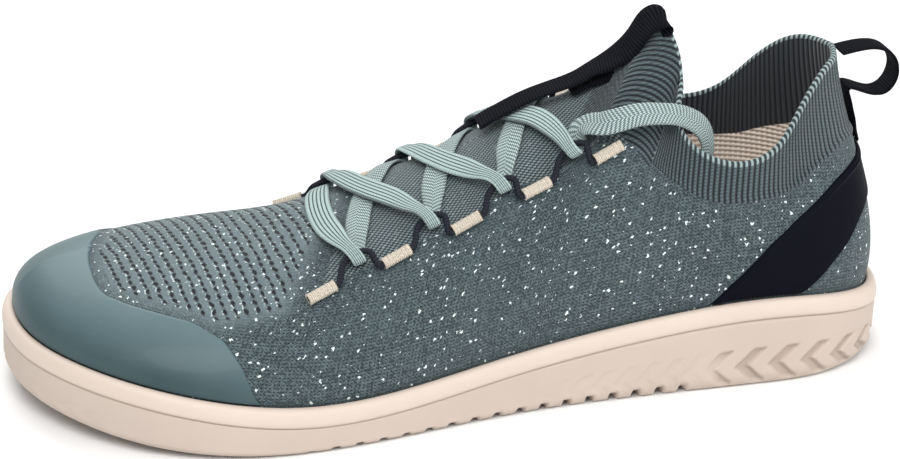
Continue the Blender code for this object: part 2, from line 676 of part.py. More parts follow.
def lace_line():
    """Path, normals and widths of the lace, from under the cord at the near top fold to the far one."""
    folds = [fold(side, number) for side, number, above in ROUTE]
    slopes = []
    for k, (centre, axis, normal, away) in enumerate(folds):
        found = []
        for other, sign in ((k - 1, 1), (k + 1, -1)):
            if 0 <= other < len(folds):
                move = (centre - folds[other][0]) * sign
                found.append((move * axis).sum() / max((move * away).sum() * sign, 1e-6))
        slopes.append(float(np.clip(np.mean(found), -0.18, 0.18)))
    path = []
    facing = []
    width = []
    turn = math.pi * FOLD_RADIUS
    spots = []
    for k, (centre, axis, normal, away) in enumerate(folds):
        steps = 6
        share = np.linspace(0, 1, steps + 1)[:, None]
        angle = share * math.pi if ROUTE[k][2] else math.pi - share * math.pi
        radial = np.cos(angle) * normal + np.sin(angle) * away
        bend = centre + FOLD_RADIUS * radial + axis * (share - 0.5) * turn * slopes[k]
        spots.append((bend, radial if ROUTE[k][2] else -radial))
    sign = 1.0
    for k in range(len(folds)):
        bend, radial = spots[k]
        path += list(bend)
        facing += list(radial * sign)
        width += [LACE_PINCH] * len(bend)
        sign = -sign
        if k < len(folds) - 1:
            from_lift = LEG_UNDER + FOLDS[ROUTE[k][1] - 1][2] + (0 if ROUTE[k][2] else 2 * FOLD_RADIUS)
            to_lift = LEG_UNDER + FOLDS[ROUTE[k + 1][1] - 1][2] + (2 * FOLD_RADIUS if ROUTE[k + 1][2] else 0)
            start = bend[-1] - folds[k][2] * from_lift
            end = spots[k + 1][0][0] - folds[k + 1][2] * to_lift
            share = np.linspace(0, 1, 10)[1:-1]
            bow = np.stack([LEG_BOW[k] * 4 * share * (1 - share), np.zeros(len(share))], -1)
            surface, normal = drop(start[:2] + (end - start)[:2] * share[:, None] + bow)
            middle = LEG_HEIGHT[k]
            lift = middle + (from_lift - middle) * np.clip(1 - share / 0.42, 0, 1) ** 1.6
            lift = lift + (to_lift - middle) * np.clip(1 - (1 - share) / 0.42, 0, 1) ** 1.6
            path += list(surface + normal * lift[:, None])
            facing += list(normal * sign)
            width += list(LACE_PINCH + (LACE_WIDTH - LACE_PINCH) * smooth(np.minimum(share, 1 - share) / 0.3))
    stub = unit(path[-1] - path[-2])
    path.append(path[-1] + stub * 0.002)
    facing.append(facing[-1])
    width.append(LACE_PINCH)
    return path, facing, width


def make_lace():
    path, facing, width = lace_line()
    return sweep("lace", path, facing, width, LACE_THICKNESS, (0.42, 0.55, 0.51), 0.85)


# Free end of the lace after it leaves the top fold, over the cord, in the air and into the collar:
# x as a share of LENGTH, y as a share of BALL_WIDTH, z as a share of TONGUE_HEIGHT, and the way it faces
LACE_END = [
    (0.388, 0.170, 0.750, 0.3, 0.45, 0.85), (0.379, 0.197, 0.780, 0.2, 0.70, 0.70),
    (0.370, 0.230, 0.791, 0.1, 0.85, 0.55), (0.353, 0.254, 0.808, 0.0, 0.92, 0.42),
    (0.334, 0.264, 0.822, 0.0, 0.94, 0.36), (0.3125, 0.264, 0.822, 0.0, 0.95, 0.32),
    (0.29, 0.255, 0.813, 0.0, 0.98, 0.25), (0.268, 0.232, 0.787, -0.1, 0.98, 0.20),
    (0.25, 0.208, 0.748, -0.35, 0.92, 0.20), (0.241, 0.192, 0.706, -0.5, 0.85, 0.10),
    (0.238, 0.182, 0.655, -0.5, 0.85, 0.0), (0.238, 0.175, 0.610, -0.5, 0.85, 0.0),
]


def make_lace_end():
    path, facing, width = lace_line()
    back = unit(path[0] - path[1])
    table = np.array(LACE_END)
    up = skin_normal(1.0, np.array(FOLDS[-1][0]), np.array(FOLDS[-1][1]))
    points = np.vstack([path[0] + back * (GAP + 0.0003), path[0] + back * 0.0014 + up * 0.0003,
                        table[:, :3] * [LENGTH, BALL_WIDTH, TONGUE_HEIGHT]])
    first = facing[0] * np.sign((facing[0] * up).sum())
    ways = np.vstack([first, first, unit(table[:, 3:])])
    knots = np.concatenate([[0], np.cumsum(np.linalg.norm(np.diff(points, axis=0), axis=1))])
    at = np.linspace(0, knots[-1], 22)
    line = spline(knots, points, at)
    face = unit(spline(knots, ways, at))
    wide = LACE_PINCH + (LACE_WIDTH - LACE_PINCH) * smooth(at / 0.012)
    return sweep("lace_end", line, face, wide, LACE_THICKNESS, (0.42, 0.55, 0.51), 0.85)


# Webbing loops
def round_path(points, count):
    knots = np.concatenate([[0], np.cumsum(np.linalg.norm(np.diff(points, axis=0), axis=1))])
    return spline(knots, points, np.linspace(0, knots[-1], count))


def make_tongue_loop():
    """Webbing sewn on the ridge above the lacing, up over the tongue's tip and back beneath itself.
    Each row: station on the ridge, height over the knit, reach past the tip in TONGUE_LOOP_REACH."""
    under = GAP + 0.0006 + WEBBING_THICKNESS / 2
    rest = LEG_UNDER + LACE_THICKNESS / 2 + GAP + 0.0003 + WEBBING_THICKNESS / 2
    over = LEG_OVER + LACE_THICKNESS / 2 + GAP + 0.0004 + WEBBING_THICKNESS / 2
    rows = [
        (0.549, over - 0.0002, 0), (0.543, over, 0), (0.533, over, 0), (0.510, over, 0), (0.485, over, 0),
        (0.463, over - 0.0004, 0), (0.440, over - 0.0006, 0), (TIP + 0.012, over + 0.0004, 0),
        (TIP + 0.002, over + 0.0014, 0.35), (TIP + 0.002, over - 0.0002, 0.92), (TIP + 0.002, over - 0.0024, 1.0),
        (TIP + 0.002, under + 0.0002, 0.62), (TIP + 0.006, under, 0), (0.432, under, 0), (0.455, under, 0),
        (0.475, under, 0),
    ]
    table = np.array(rows)
    station = table[:, 0]
    spot = top_line(1, station)[0]
    along = unit((top_line(1, station + 0.002)[0] - top_line(1, station - 0.0)[0]) * [1, 0, 1])
    normal = np.stack([-along[:, 2], np.zeros(len(rows)), along[:, 0]], -1)
    points = spot + normal * table[:, 1:2] - along * table[:, 2:3] * TONGUE_LOOP_REACH
    line = round_path(points, 30)
    tangent = unit(np.gradient(line, axis=0))
    side = np.array([0, 1.0, 0])
    return sweep("tongue_pull_loop", line, np.cross(side, tangent), WEBBING_WIDTH, WEBBING_THICKNESS,
                 (0.010, 0.012, 0.020), 0.7)


def make_heel_loop():
    """Webbing out from the collar's back, down, forward to the knit again and down over the seam."""
    clear = GAP + 0.0005 + WEBBING_THICKNESS / 2

    def back(level):
        spot = skin(1.0, np.array(0.0), np.array(level))
        return spot + skin_normal(1.0, np.array(0.0), np.array(level)) * [1, 0, 1] * clear

    top = back(0.975)
    low = back(0.815)
    seam = [back(v) for v in (0.775, 0.73, 0.67, 0.604)]
    far = top[0] - HEEL_LOOP_REACH
    points = np.array([
        top, (top[0] - 0.35 * HEEL_LOOP_REACH, 0, top[2] + 0.0012), (far + 0.24 * HEEL_LOOP_REACH, 0, top[2] + 0.0004),
        (far + 0.03 * HEEL_LOOP_REACH, 0, top[2] - 0.25 * HEEL_LOOP_HEIGHT),
        (far, 0, top[2] - 0.68 * HEEL_LOOP_HEIGHT), (far + 0.14 * HEEL_LOOP_REACH, 0, top[2] - 0.98 * HEEL_LOOP_HEIGHT),
        (far + 0.42 * HEEL_LOOP_REACH, 0, top[2] - 1.03 * HEEL_LOOP_HEIGHT), low, *seam,
    ])
    line = round_path(points, 27)
    tangent = unit(np.gradient(line, axis=0))
    side = np.array([0, 1.0, 0])
    return sweep("heel_pull_loop", line, np.cross(side, tangent), WEBBING_WIDTH, WEBBING_THICKNESS,
                 (0.010, 0.012, 0.020), 0.7)


make_outsole()
make_midsole()
make_insole()
make_upper()
make_toe_film()
make_heel_band()
make_lace()
make_lace_end()
make_cord(1, "lace_cord_lateral")
make_cord(-1, "lace_cord_medial")
make_tunnels(1, "cord_tunnel_lateral")
make_tunnels(-1, "cord_tunnel_medial")
make_tongue_loop()
make_heel_loop()

# Stand the shoe with the middle of its plan on the origin. The free lace end is not measured.
LOW = np.full(3, 1e9)
HIGH = np.full(3, -1e9)
for piece in SHOE.objects:
    if piece.name != "lace_end":
        spots = np.array([v.co[:] for v in piece.data.vertices])
        LOW = np.minimum(LOW, spots.min(0))
        HIGH = np.maximum(HIGH, spots.max(0))
SHIFT = np.array([-(LOW[0] + HIGH[0]) / 2, -(LOW[1] + HIGH[1]) / 2, -LOW[2]])
for piece in SHOE.objects:
    spots = np.array([v.co[:] for v in piece.data.vertices]) + SHIFT
    piece.data.vertices.foreach_set("co", spots.ravel())
    piece.data.update()
print("box", np.round((HIGH - LOW) * 1000, 2), "shift", np.round(SHIFT * 1000, 3))
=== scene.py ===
# %% [markdown]
# # Dressing a knitted barefoot shoe
#
# The frame holds the plain solids of a left shoe: toe at +X, outer side at +Y, floor at Z = 0, in metres.
# This script builds the pieces that are seen, each on the same surface as the solid it stands for.
# A surface is computed as a whole array of points from a formula, and only then becomes a mesh.

# %% Load the frame
import math

import bpy
import numpy as np
from mathutils import Matrix, Vector


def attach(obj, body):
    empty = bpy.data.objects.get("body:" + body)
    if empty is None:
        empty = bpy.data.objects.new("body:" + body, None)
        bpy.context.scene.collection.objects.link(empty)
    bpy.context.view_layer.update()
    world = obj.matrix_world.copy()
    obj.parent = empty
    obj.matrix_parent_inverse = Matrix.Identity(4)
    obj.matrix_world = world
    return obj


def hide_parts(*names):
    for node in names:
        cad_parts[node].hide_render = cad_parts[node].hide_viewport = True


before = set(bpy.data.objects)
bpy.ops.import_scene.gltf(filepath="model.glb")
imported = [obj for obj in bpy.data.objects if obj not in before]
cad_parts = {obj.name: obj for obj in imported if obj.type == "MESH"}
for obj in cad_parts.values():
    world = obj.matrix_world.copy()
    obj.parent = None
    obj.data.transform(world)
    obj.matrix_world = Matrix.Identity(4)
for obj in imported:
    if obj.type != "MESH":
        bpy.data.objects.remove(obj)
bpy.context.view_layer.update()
link = bpy.context.scene.collection.objects.link

# %% [markdown]
# ## The form of the shoe
#
# Two functions give every surface. `outline` is the plan of the sole: a closed cubic curve through a table.
# `skin` is the outside of the knit. Its coordinates are a side (1 outer, -1 inner), a station (0 heel, 1 toe)
# and a level (0 at the sole's rim, 1 at the collar or, further forward, at the ridge of the foot).
# The shoe is measured from its heel here; `SHIFT` moves it into the frame at the end.

# %% Named sizes
LENGTH = 0.285
BALL_WIDTH = 0.105
HEEL_TAB_HEIGHT = 0.1015
ANKLE_HEIGHT = 0.075
TONGUE_HEIGHT = 0.1135
INSTEP_HEIGHT = 0.088
VAMP_HEIGHT = 0.0545
TOE_HEIGHT = 0.0455
COLLAR_WIDTH = 0.06
UPPER_WALL = 0.002
GAP = 0.0003
RIM_HEIGHT = 0.029
RIM_BAND = 0.0055
RIM_WIDTH = 0.0035
CUP_WALL = 0.0022
OUTSOLE_BASE = 0.0045
MIDSOLE_BASE = 0.003
INSOLE_THICKNESS = 0.003
TOE_SPRING = 0.0074
HEEL_LIFT = 0.0035
EDGE_ROUND = 0.0035
LUG_DEPTH = 0.0022
FILM_THICKNESS = 0.0008
BAND_THICKNESS = 0.0008
CORD_DIAMETER = 0.002
LACE_WIDTH = 0.0082
LACE_PINCH = 0.0042
LACE_THICKNESS = 0.0011
TUNNEL_LENGTH = 0.0095
TUNNEL_DIAMETER = 0.0037
FOLD_RUN = 0.009
WEBBING_WIDTH = 0.0105
WEBBING_THICKNESS = 0.0012
HEEL_LOOP_REACH = 0.0192
HEEL_LOOP_HEIGHT = 0.0138
TONGUE_LOOP_REACH = 0.0052
TIP = 16 / 39
RIB_PITCH = 0.0019
TONGUE_RIB_PITCH = 0.0018
STATION_MM = 330
SHIFT = np.array([-0.1417, -0.001324, 0])

# %% Tables of the form
OUTLINE = [
    (0.000, 0.000), (0.028, 0.205), (0.090, 0.310), (0.180, 0.343), (0.320, 0.357), (0.460, 0.390),
    (0.600, 0.467), (0.710, 0.514), (0.800, 0.505), (0.880, 0.429), (0.945, 0.286), (0.990, 0.086),
    (1.000, -0.095), (0.985, -0.276), (0.930, -0.410), (0.840, -0.481), (0.720, -0.486), (0.600, -0.438),
    (0.460, -0.352), (0.340, -0.310), (0.200, -0.324), (0.100, -0.305), (0.030, -0.205),
]
TOE_ROW = 12
RIM = [(0, 0.8), (0.12, 1), (0.3, 0.93), (0.5, 0.655), (0.7, 0.51), (0.88, 0.75), (1, 0.88)]
# Sections: station, top x, half width, lean, top z, lower handle, swell, upper handle, crown
SECTIONS = [
    (0.000, 0.070, 0.00, 0.000, HEEL_TAB_HEIGHT * 1.000, 0.33, 0.040, 0.34, 0.24),
    (0.050, 0.080, 0.30, 0.000, HEEL_TAB_HEIGHT * 0.993, 0.33, 0.040, 0.34, 0.24),
    (0.100, 0.103, 0.54, 0.000, HEEL_TAB_HEIGHT * 0.970, 0.34, 0.038, 0.34, 0.21),
    (0.150, 0.135, 0.76, 0.000, ANKLE_HEIGHT * 1.190, 0.36, 0.036, 0.34, 0.13),
    (0.190, 0.165, 0.92, 0.000, ANKLE_HEIGHT * 1.055, 0.38, 0.036, 0.34, 0.10),
    (0.230, 0.205, 1.00, 0.000, ANKLE_HEIGHT * 1.000, 0.40, 0.032, 0.34, 0.10),
    (0.265, 0.243, 0.98, 0.000, ANKLE_HEIGHT * 1.025, 0.40, 0.029, 0.34, 0.12),
    (0.300, 0.275, 0.86, 0.000, ANKLE_HEIGHT * 1.115, 0.41, 0.027, 0.31, 0.20),
    (0.330, 0.282, 0.70, 0.000, TONGUE_HEIGHT * 0.815, 0.42, 0.025, 0.26, 0.27),
    (0.360, 0.273, 0.53, 0.000, TONGUE_HEIGHT * 0.905, 0.43, 0.023, 0.18, 0.34),
    (0.390, 0.277, 0.24, 0.000, TONGUE_HEIGHT * 0.985, 0.44, 0.021, 0.08, 0.41),
    (TIP, 0.285, 0.00, 0.000, TONGUE_HEIGHT * 1.000, 0.45, 0.019, 0.02, 0.44),
    (0.450, 0.340, 0.00, 0.004, INSTEP_HEIGHT * 1.100, 0.46, 0.019, 0.00, 0.46),
    (0.500, 0.410, 0.00, 0.015, INSTEP_HEIGHT * 0.985, 0.46, 0.019, 0.00, 0.46),
    (0.560, 0.485, 0.00, 0.035, INSTEP_HEIGHT * 0.855, 0.46, 0.019, 0.00, 0.45),
    (0.640, 0.570, 0.00, 0.065, INSTEP_HEIGHT * 0.735, 0.44, 0.019, 0.00, 0.43),
    (0.720, 0.655, 0.00, 0.095, VAMP_HEIGHT * 1.010, 0.46, 0.019, 0.00, 0.44),
    (0.800, 0.740, 0.00, 0.120, VAMP_HEIGHT * 0.925, 0.52, 0.019, 0.00, 0.47),
    (0.900, 0.845, 0.00, 0.120, TOE_HEIGHT * 1.020, 0.60, 0.017, 0.00, 0.50),
    (1.000, 0.925, 0.00, 0.105, TOE_HEIGHT * 0.945, 0.66, 0.014, 0.00, 0.52),
]
# Edges on the knit: station, level. First the film on the toe, then the band round the heel, then the ribs
CAP_EDGE = {
    1: [(0.698, 0), (0.703, 0.05), (0.718, 0.2), (0.743, 0.33), (0.777, 0.405), (0.81, 0.435),
        (0.845, 0.465), (0.878, 0.51), (0.896, 0.58), (0.928, 0.74), (0.958, 0.91), (0.966, 1), (1, 1)],
    -1: [(0.725, 0), (0.732, 0.05), (0.748, 0.17), (0.77, 0.28), (0.8, 0.36), (0.83, 0.42),
         (0.86, 0.5), (0.896, 0.7), (0.92, 0.79), (0.948, 0.89), (0.966, 1), (1, 1)],
}
BAND_TOP = [(0, 0.6), (0.035, 0.592), (0.08, 0.57), (0.112, 0.54), (0.14, 0.5), (0.172, 0.462),
            (0.198, 0.384), (0.22, 0.236), (0.242, 0.088), (0.256, 0)]
BAND_FOOT = [(0, 0.405), (0.03, 0.4), (0.06, 0.376), (0.084, 0.324), (0.106, 0.236), (0.126, 0.164),
             (0.146, 0.068), (0.162, 0), (0.256, 0)]
RIB_FOOT = [(0, 0.65), (0.08, 0.675), (0.113, 0.655), (0.163, 0.64), (0.212, 0.715), (0.255, 0.725),
            (0.3, 0.72), (0.365, 0.59), (0.43, 0.6), (1, 0.6)]
# Cord tunnels from the toe up: station and level of both ends. Folds of the lace between them: station,
# level, extra height
TUNNELS = [
    (0.677, 0.455, 0.65, 0.49), (0.608, 0.51, 0.58, 0.535), (0.54, 0.53, 0.512, 0.53),
    (0.478, 0.54, 0.453, 0.57), (0.41, 0.5, 0.388, 0.58),
]
FOLDS = [(0.637, 0.57, 0), (0.566, 0.612, 0), (0.499, 0.603, 0), (0.435, 0.615, 0.0007)]

# %% The two functions of the form
def spline(knots, values, at):
    """Natural cubic curve through values at the knots, read at any parameters."""
    knots = np.asarray(knots, float)
    values = np.asarray(values, float)
    at = np.asarray(at, float)
    if values.ndim == 1:
        return spline(knots, values[:, None], at)[..., 0]
    step = np.diff(knots)
    matrix = np.eye(len(knots))
    i = np.arange(1, len(knots) - 1)
    matrix[i, i - 1], matrix[i, i], matrix[i, i + 1] = step[:-1], 2 * (step[:-1] + step[1:]), step[1:]
    right = np.zeros_like(values)
    right[1:-1] = 6 * np.diff(np.diff(values, axis=0) / step[:, None], axis=0)
    bend = np.linalg.solve(matrix, right)
    i = np.clip(np.searchsorted(knots, at) - 1, 0, len(knots) - 2)
    a = ((knots[i + 1] - at) / step[i])[..., None]
    b = 1 - a
    room = step[i][..., None] ** 2 / 6
    return a * values[i] + b * values[i + 1] + ((a ** 3 - a) * bend[i] + (b ** 3 - b) * bend[i + 1]) * room


def unit(v):
    """Each vector divided by its length."""
    return v / np.maximum(np.linalg.norm(v, axis=-1, keepdims=True), 1e-12)


def smooth(x):
    """0 up to 0, 1 from 1 on, and 3 x squared less 2 x cubed between them."""
    x = np.clip(x, 0, 1)
    return x * x * (3 - 2 * x)


RING = np.array(OUTLINE) * [LENGTH, BALL_WIDTH]
WRAPPED = np.vstack([RING[-4:], RING, RING[:5]])
TRAVEL = np.concatenate([[0], np.cumsum(np.hypot(*np.diff(WRAPPED, axis=0).T))])
TRAVEL = TRAVEL - TRAVEL[4]
TO_TOE = TRAVEL[4 + TOE_ROW]
ROUND_TRIP = TRAVEL[4 + len(RING)]
TABLE = np.array(SECTIONS)


def outline(side, station, inset=0):
    """Plan point on the sole's outline at a station (0 heel, 1 toe) of one side, moved inwards by inset."""
    station = np.asarray(station, float)
    k = np.where(side > 0, station * TO_TOE, ROUND_TRIP - station * (ROUND_TRIP - TO_TOE))
    step = 0.001
    along = unit(spline(TRAVEL, WRAPPED, k + step) - spline(TRAVEL, WRAPPED, k - step))
    outward = np.stack([-along[..., 1], along[..., 0]], -1)
    return spline(TRAVEL, WRAPPED, k) - outward * np.asarray(inset)[..., None], outward


def rim_top(x):
    """Height of the sole's upper edge."""
    return spline([a * LENGTH for a, b in RIM], [b * RIM_HEIGHT for a, b in RIM], np.clip(x, 0, LENGTH))


def ground(x):
    """How far the tread lies above the floor: toe spring in front, a lift at the back of the heel."""
    toe = np.clip((x / LENGTH - 0.7) / 0.3, 0, 1.1)
    heel = np.clip((0.12 - x / LENGTH) / 0.12, 0, 1.1)
    return TOE_SPRING * toe ** 2 + HEEL_LIFT * heel ** 2


def floor_top(x):
    """Height of the midsole's upper face."""
    return ground(x) + OUTSOLE_BASE + GAP + MIDSOLE_BASE


def knee(x):
    """Height where the cup's inner wall turns from upright to leaning out towards the rim."""
    return floor_top(x) + 0.35 * (rim_top(x) - floor_top(x))


def top_line(side, station):
    """Top points of the sections: the collar's edge as far as TIP, the ridge of the foot after it."""
    row = spline(TABLE[:, 0], TABLE[:, 1:], station)
    half = np.where(station >= TIP - 1e-9, 0, np.maximum(row[..., 1], 0)) * COLLAR_WIDTH / 2
    y = side * half - row[..., 2] * BALL_WIDTH
    return np.stack([row[..., 0] * LENGTH, y, row[..., 3]], -1), row


CUP_INSET = 2 * CUP_WALL + 2 * GAP
TOP_INSET = RIM_WIDTH + GAP


def skin(side, station, level):
    """Outside of the upper. From level 0 to 1 it is one cubic curve a section: up and out from the rim,
    then in over the foot, with its end handle in the plane of the ridge, so the two sides meet smoothly."""
    station = np.asarray(station, float)
    level = np.asarray(level, float)
    top, row = top_line(side, station)
    plan, outward = outline(side, station, TOP_INSET)
    foot = np.concatenate([plan, rim_top(plan[..., 0])[..., None]], -1)
    up = np.array([0, 0, 1])
    out = np.concatenate([outward, np.zeros_like(outward[..., :1])], -1)
    height = (top - foot)[..., 2:3]
    across = (foot - top) * [1, 1, 0]
    near = np.clip(station, TIP + 0.002, 0.998)
    ridge = top_line(side, near + 0.001)[0] - top_line(side, near - 0.001)[0]
    fall = ridge[..., 2] / (ridge[..., 0] ** 2 + ridge[..., 1] ** 2)
    weight = smooth((station - 0.28) / (TIP - 0.28))
    lean = (across[..., 0] * ridge[..., 0] + across[..., 1] * ridge[..., 1]) * fall * weight
    one = foot + up * row[..., 4:5] * height + out * row[..., 5:6] * BALL_WIDTH
    two = top - up * row[..., 6:7] * height + across * row[..., 7:8] + up * (lean[..., None] * row[..., 7:8])
    t = np.clip(level, 0, 1)[..., None]
    point = (1 - t) ** 3 * foot + 3 * t * (1 - t) ** 2 * one + 3 * t * t * (1 - t) * two + t ** 3 * top
    inner, _ = outline(side, station, CUP_INSET)
    low = np.where(level < -1.5, floor_top(inner[..., 0]) + GAP, knee(inner[..., 0]))
    under = np.concatenate([inner, low[..., None]], -1)
    return np.where(level[..., None] < -0.5, under, point)


def skin_normal(side, station, level):
    """Outward normal of the upper from small steps along and up it."""
    s = np.clip(station, 0.004, 0.996)
    t = np.clip(level, 0.004, 0.996)
    along = skin(side, s + 0.003, t) - skin(side, s - 0.003, t)
    up = skin(side, s, t + 0.003) - skin(side, s, t - 0.003)
    return unit(np.cross(up, along) * np.reshape(side, np.shape(side) + (1,)))


SEED_SIDE, SEED_S, SEED_T = [a.ravel() for a in np.meshgrid([1, -1], np.linspace(0.32, 0.8, 90),
                                                         np.linspace(0.3, 1, 70), indexing="ij")]
SEED_POINT = skin(SEED_SIDE, SEED_S, SEED_T)


def drop(plan):
    """The point of the upper straight above or below each plan point, and its normal, by Newton's steps."""
    gap = ((SEED_POINT[None, :, :2] - plan[:, None, :]) ** 2).sum(-1)
    best = gap.argmin(1)
    side = SEED_SIDE[best]
    s = SEED_S[best]
    t = SEED_T[best]
    h = 0.0005
    for _ in range(8):
        here = skin(side, s, t)[:, :2]
        ds = (skin(side, s + h, t)[:, :2] - here) / h
        dt = (here - skin(side, s, t - h)[:, :2]) / h
        miss = plan - here
        det = ds[:, 0] * dt[:, 1] - ds[:, 1] * dt[:, 0]
        s = np.clip(s + (miss[:, 0] * dt[:, 1] - miss[:, 1] * dt[:, 0]) / det, 0.3, 0.82)
        t = np.clip(t + (ds[:, 0] * miss[:, 1] - ds[:, 1] * miss[:, 0]) / det, 0.25, 1)
    return skin(side, s, t), skin_normal(side, s, t)


# %% [markdown]
# ## From points to meshes
#
# `Builder` gathers grids of points. Each grid brings its faces, UV pairs and any number of values a point.
# Equal points are joined at the end, so the two sides of the shoe meet without a seam in the shading.

# %% Builder of meshes
class Builder:
    """Grids of points joined into one mesh: a face for each four neighbours, turned over if flip is set."""

    def __init__(self):
        self.points = []
        self.quads = []
        self.uvs = {}
        self.values = {}
        self.count = 0

    def grid(self, points, uvs, flip=False, **values):
        """Adds a grid of points, with its UV pairs and its values a point by name."""
        rows, columns = points.shape[:2]
        number = np.arange(rows * columns).reshape(rows, columns) + self.count
        quads = np.stack([number[:-1, :-1], number[:-1, 1:], number[1:, 1:], number[1:, :-1]], -1)
        self.quads.append((quads[..., ::-1] if flip else quads).reshape(-1, 4))
        self.points.append(points.reshape(-1, 3))
        for name, uv in uvs.items():
            self.uvs.setdefault(name, []).append(np.asarray(uv).reshape(-1, 2))
        for name, value in values.items():
            self.values.setdefault(name, []).append(np.broadcast_to(value, (rows, columns)).ravel())
        self.count += rows * columns

    def finish(self, name, material, nodes, slot_name):
        """Joins equal points, leaves out faces without area, and adds the piece to the frame."""
        points = np.vstack(self.points)
        quads = np.vstack(self.quads)
        keys = np.round(points * 2e6).astype(np.int64)
        _, first, back = np.unique(keys, axis=0, return_index=True, return_inverse=True)
        ring = back.ravel()[quads]
        span = points[first][ring]
        area = np.linalg.norm(np.cross(span[:, 2] - span[:, 0], span[:, 3] - span[:, 1]), axis=1)
        solid = ring != np.roll(ring, 1, axis=1)
        folded = (ring[:, 0] == ring[:, 2]) | (ring[:, 1] == ring[:, 3])
        keep = (area > 1e-12) & ~folded & (solid.sum(1) >= 3)
        ring, corners, solid = ring[keep], quads[keep], solid[keep]
        total = solid.sum(1)
        mesh = bpy.data.meshes.new(name)
        mesh.vertices.add(len(first))
        mesh.vertices.foreach_set("co", (points[first] + SHIFT).astype(np.float32).ravel())
        mesh.loops.add(int(total.sum()))
        mesh.loops.foreach_set("vertex_index", ring[solid].astype(np.int32))
        mesh.polygons.add(len(total))
        mesh.polygons.foreach_set("loop_start", (np.cumsum(total) - total).astype(np.int32))
        mesh.polygons.foreach_set("loop_total", total.astype(np.int32))
        mesh.update(calc_edges=True)
        for key, parts in self.uvs.items():
            layer = mesh.uv_layers.new(name=key)
            layer.data.foreach_set("uv", np.vstack(parts)[corners[solid]].astype(np.float32).ravel())
        for key, parts in self.values.items():
            layer = mesh.attributes.new(key, "FLOAT", "POINT")
            layer.data.foreach_set("value", np.concatenate(parts)[first].astype(np.float32))
        mesh.validate()
        mesh.shade_smooth()
        mesh.materials.append(material)
        piece = bpy.data.objects.new(name, mesh)
        link(piece)
        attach(piece, "root")
        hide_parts(*nodes)
        print(name, len(first), "points,", int((total - 2).sum()), "triangles")
        return piece


def travel(points):
    """Distance travelled along a line of points, or along each row of a grid, in metres."""
    far = np.cumsum(np.linalg.norm(np.diff(points, axis=-2), axis=-1), axis=-1)
    return np.concatenate([np.zeros(far.shape[:-1] + (1,)), far], axis=-1)


# %% [markdown]
# ## Materials
#
# Every surface pattern is arithmetic on a UV pair in metres, so a rib or a stitch keeps its real size.
# A `Term` is one output of a node. Adding, multiplying or comparing terms adds the Math node that does it.

# %% Arithmetic with nodes
def feed(tree, target, value):
    """A Term is linked to the input, a colour gets its fourth number, a number is set as it is."""
    if isinstance(value, Term):
        tree.links.new(value.socket, target)
    else:
        target.default_value = (*value, 1) if isinstance(value, tuple) else value


def node(tree, kind, inputs, **settings):
    """A new node with these inputs and settings; its outputs as a list of Terms."""
    made = tree.nodes.new(kind)
    for key, value in settings.items():
        setattr(made, key, value)
    for key, value in inputs.items():
        feed(tree, made.inputs[key], value)
    return [Term(socket) for socket in made.outputs]


def operation(name, turned=False):
    """A method of Term that adds the Math node of this name."""
    def apply(term, other=0):
        pair = (other, term) if turned else (term, other)
        return node(term.tree, "ShaderNodeMath", dict(enumerate(pair)), operation=name)[0]
    return apply


class Term:
    """One output of a node, used like a number."""

    def __init__(self, socket):
        self.socket = socket
        self.tree = socket.id_data

    __add__ = operation("ADD")
    __sub__ = operation("SUBTRACT")
    __rsub__ = operation("SUBTRACT", turned=True)
    __mul__ = operation("MULTIPLY")
    __pow__ = operation("POWER")
    __abs__ = operation("ABSOLUTE")
    __lt__ = operation("LESS_THAN")
    __gt__ = operation("GREATER_THAN")
    larger = operation("MAXIMUM")
    fract = operation("FRACT")
    sine = operation("SINE")
    root = operation("SQRT")


def wave(term, pitch=1):
    """A sine from -1 to 1 with one period each pitch."""
    return (term * (2 * math.pi / pitch)).sine()


def steps(term, low, high, first=0, last=1):
    """A soft change from first to last as the term goes from low to high."""
    inputs = dict(enumerate((term, low, high, first, last)))
    return node(term.tree, "ShaderNodeMapRange", inputs, interpolation_type="SMOOTHSTEP")[0]


def mix(share, a, b):
    """Colour a where share is 0, colour b where it is 1."""
    return node(share.tree, "ShaderNodeMix", {0: share, 6: a, 7: b}, data_type="RGBA")[2]


def noise(vector, size, detail=2, out=0):
    """Smooth random values that change over about this size: out 0 gives one number, out 1 three."""
    inputs = {"Vector": vector, "Scale": 1 / size, "Detail": detail}
    return node(vector.tree, "ShaderNodeTexNoise", inputs)[out]


def cells(vector, size):
    """Cells of about the given size: distance from the middle, and two random numbers for each cell."""
    distance, colour = node(vector.tree, "ShaderNodeTexVoronoi", {"Vector": vector, "Scale": 1 / size})[:2]
    return distance, *node(vector.tree, "ShaderNodeSeparateColor", {0: colour})[:2]


class Net:
    """The node tree of one material, and the terms that its patterns start from."""

    def __init__(self, name, roughness, sheen=0, coat=0, specular=0.3):
        self.material = bpy.data.materials.new(name)
        self.material.use_nodes = True
        self.tree = self.material.node_tree
        self.shader = self.tree.nodes["Principled BSDF"].inputs
        for key, value in (("Roughness", roughness), ("Sheen Weight", sheen), ("Coat Weight", coat),
                           ("Specular IOR Level", specular)):
            self.shader[key].default_value = value

    def uv(self, name):
        vector = node(self.tree, "ShaderNodeUVMap", {}, uv_map=name)[0]
        return vector, *node(self.tree, "ShaderNodeSeparateXYZ", {0: vector})[:2]

    def value(self, name):
        return node(self.tree, "ShaderNodeAttribute", {}, attribute_name=name)[2]

    def finish(self, colour, height, depth):
        """Colour and relief of the surface: height 0 to 1 stands for depth in metres."""
        bump = node(self.tree, "ShaderNodeBump", {"Height": height, "Distance": depth, "Strength": 1})[0]
        feed(self.tree, self.shader["Base Color"], colour)
        feed(self.tree, self.shader["Normal"], bump)
        return self.material


# %% Knit
WALE = 0.0013
COURSE = 0.0011
SLIT_PITCH = 0.0033
SLIT_STEP = 0.0034


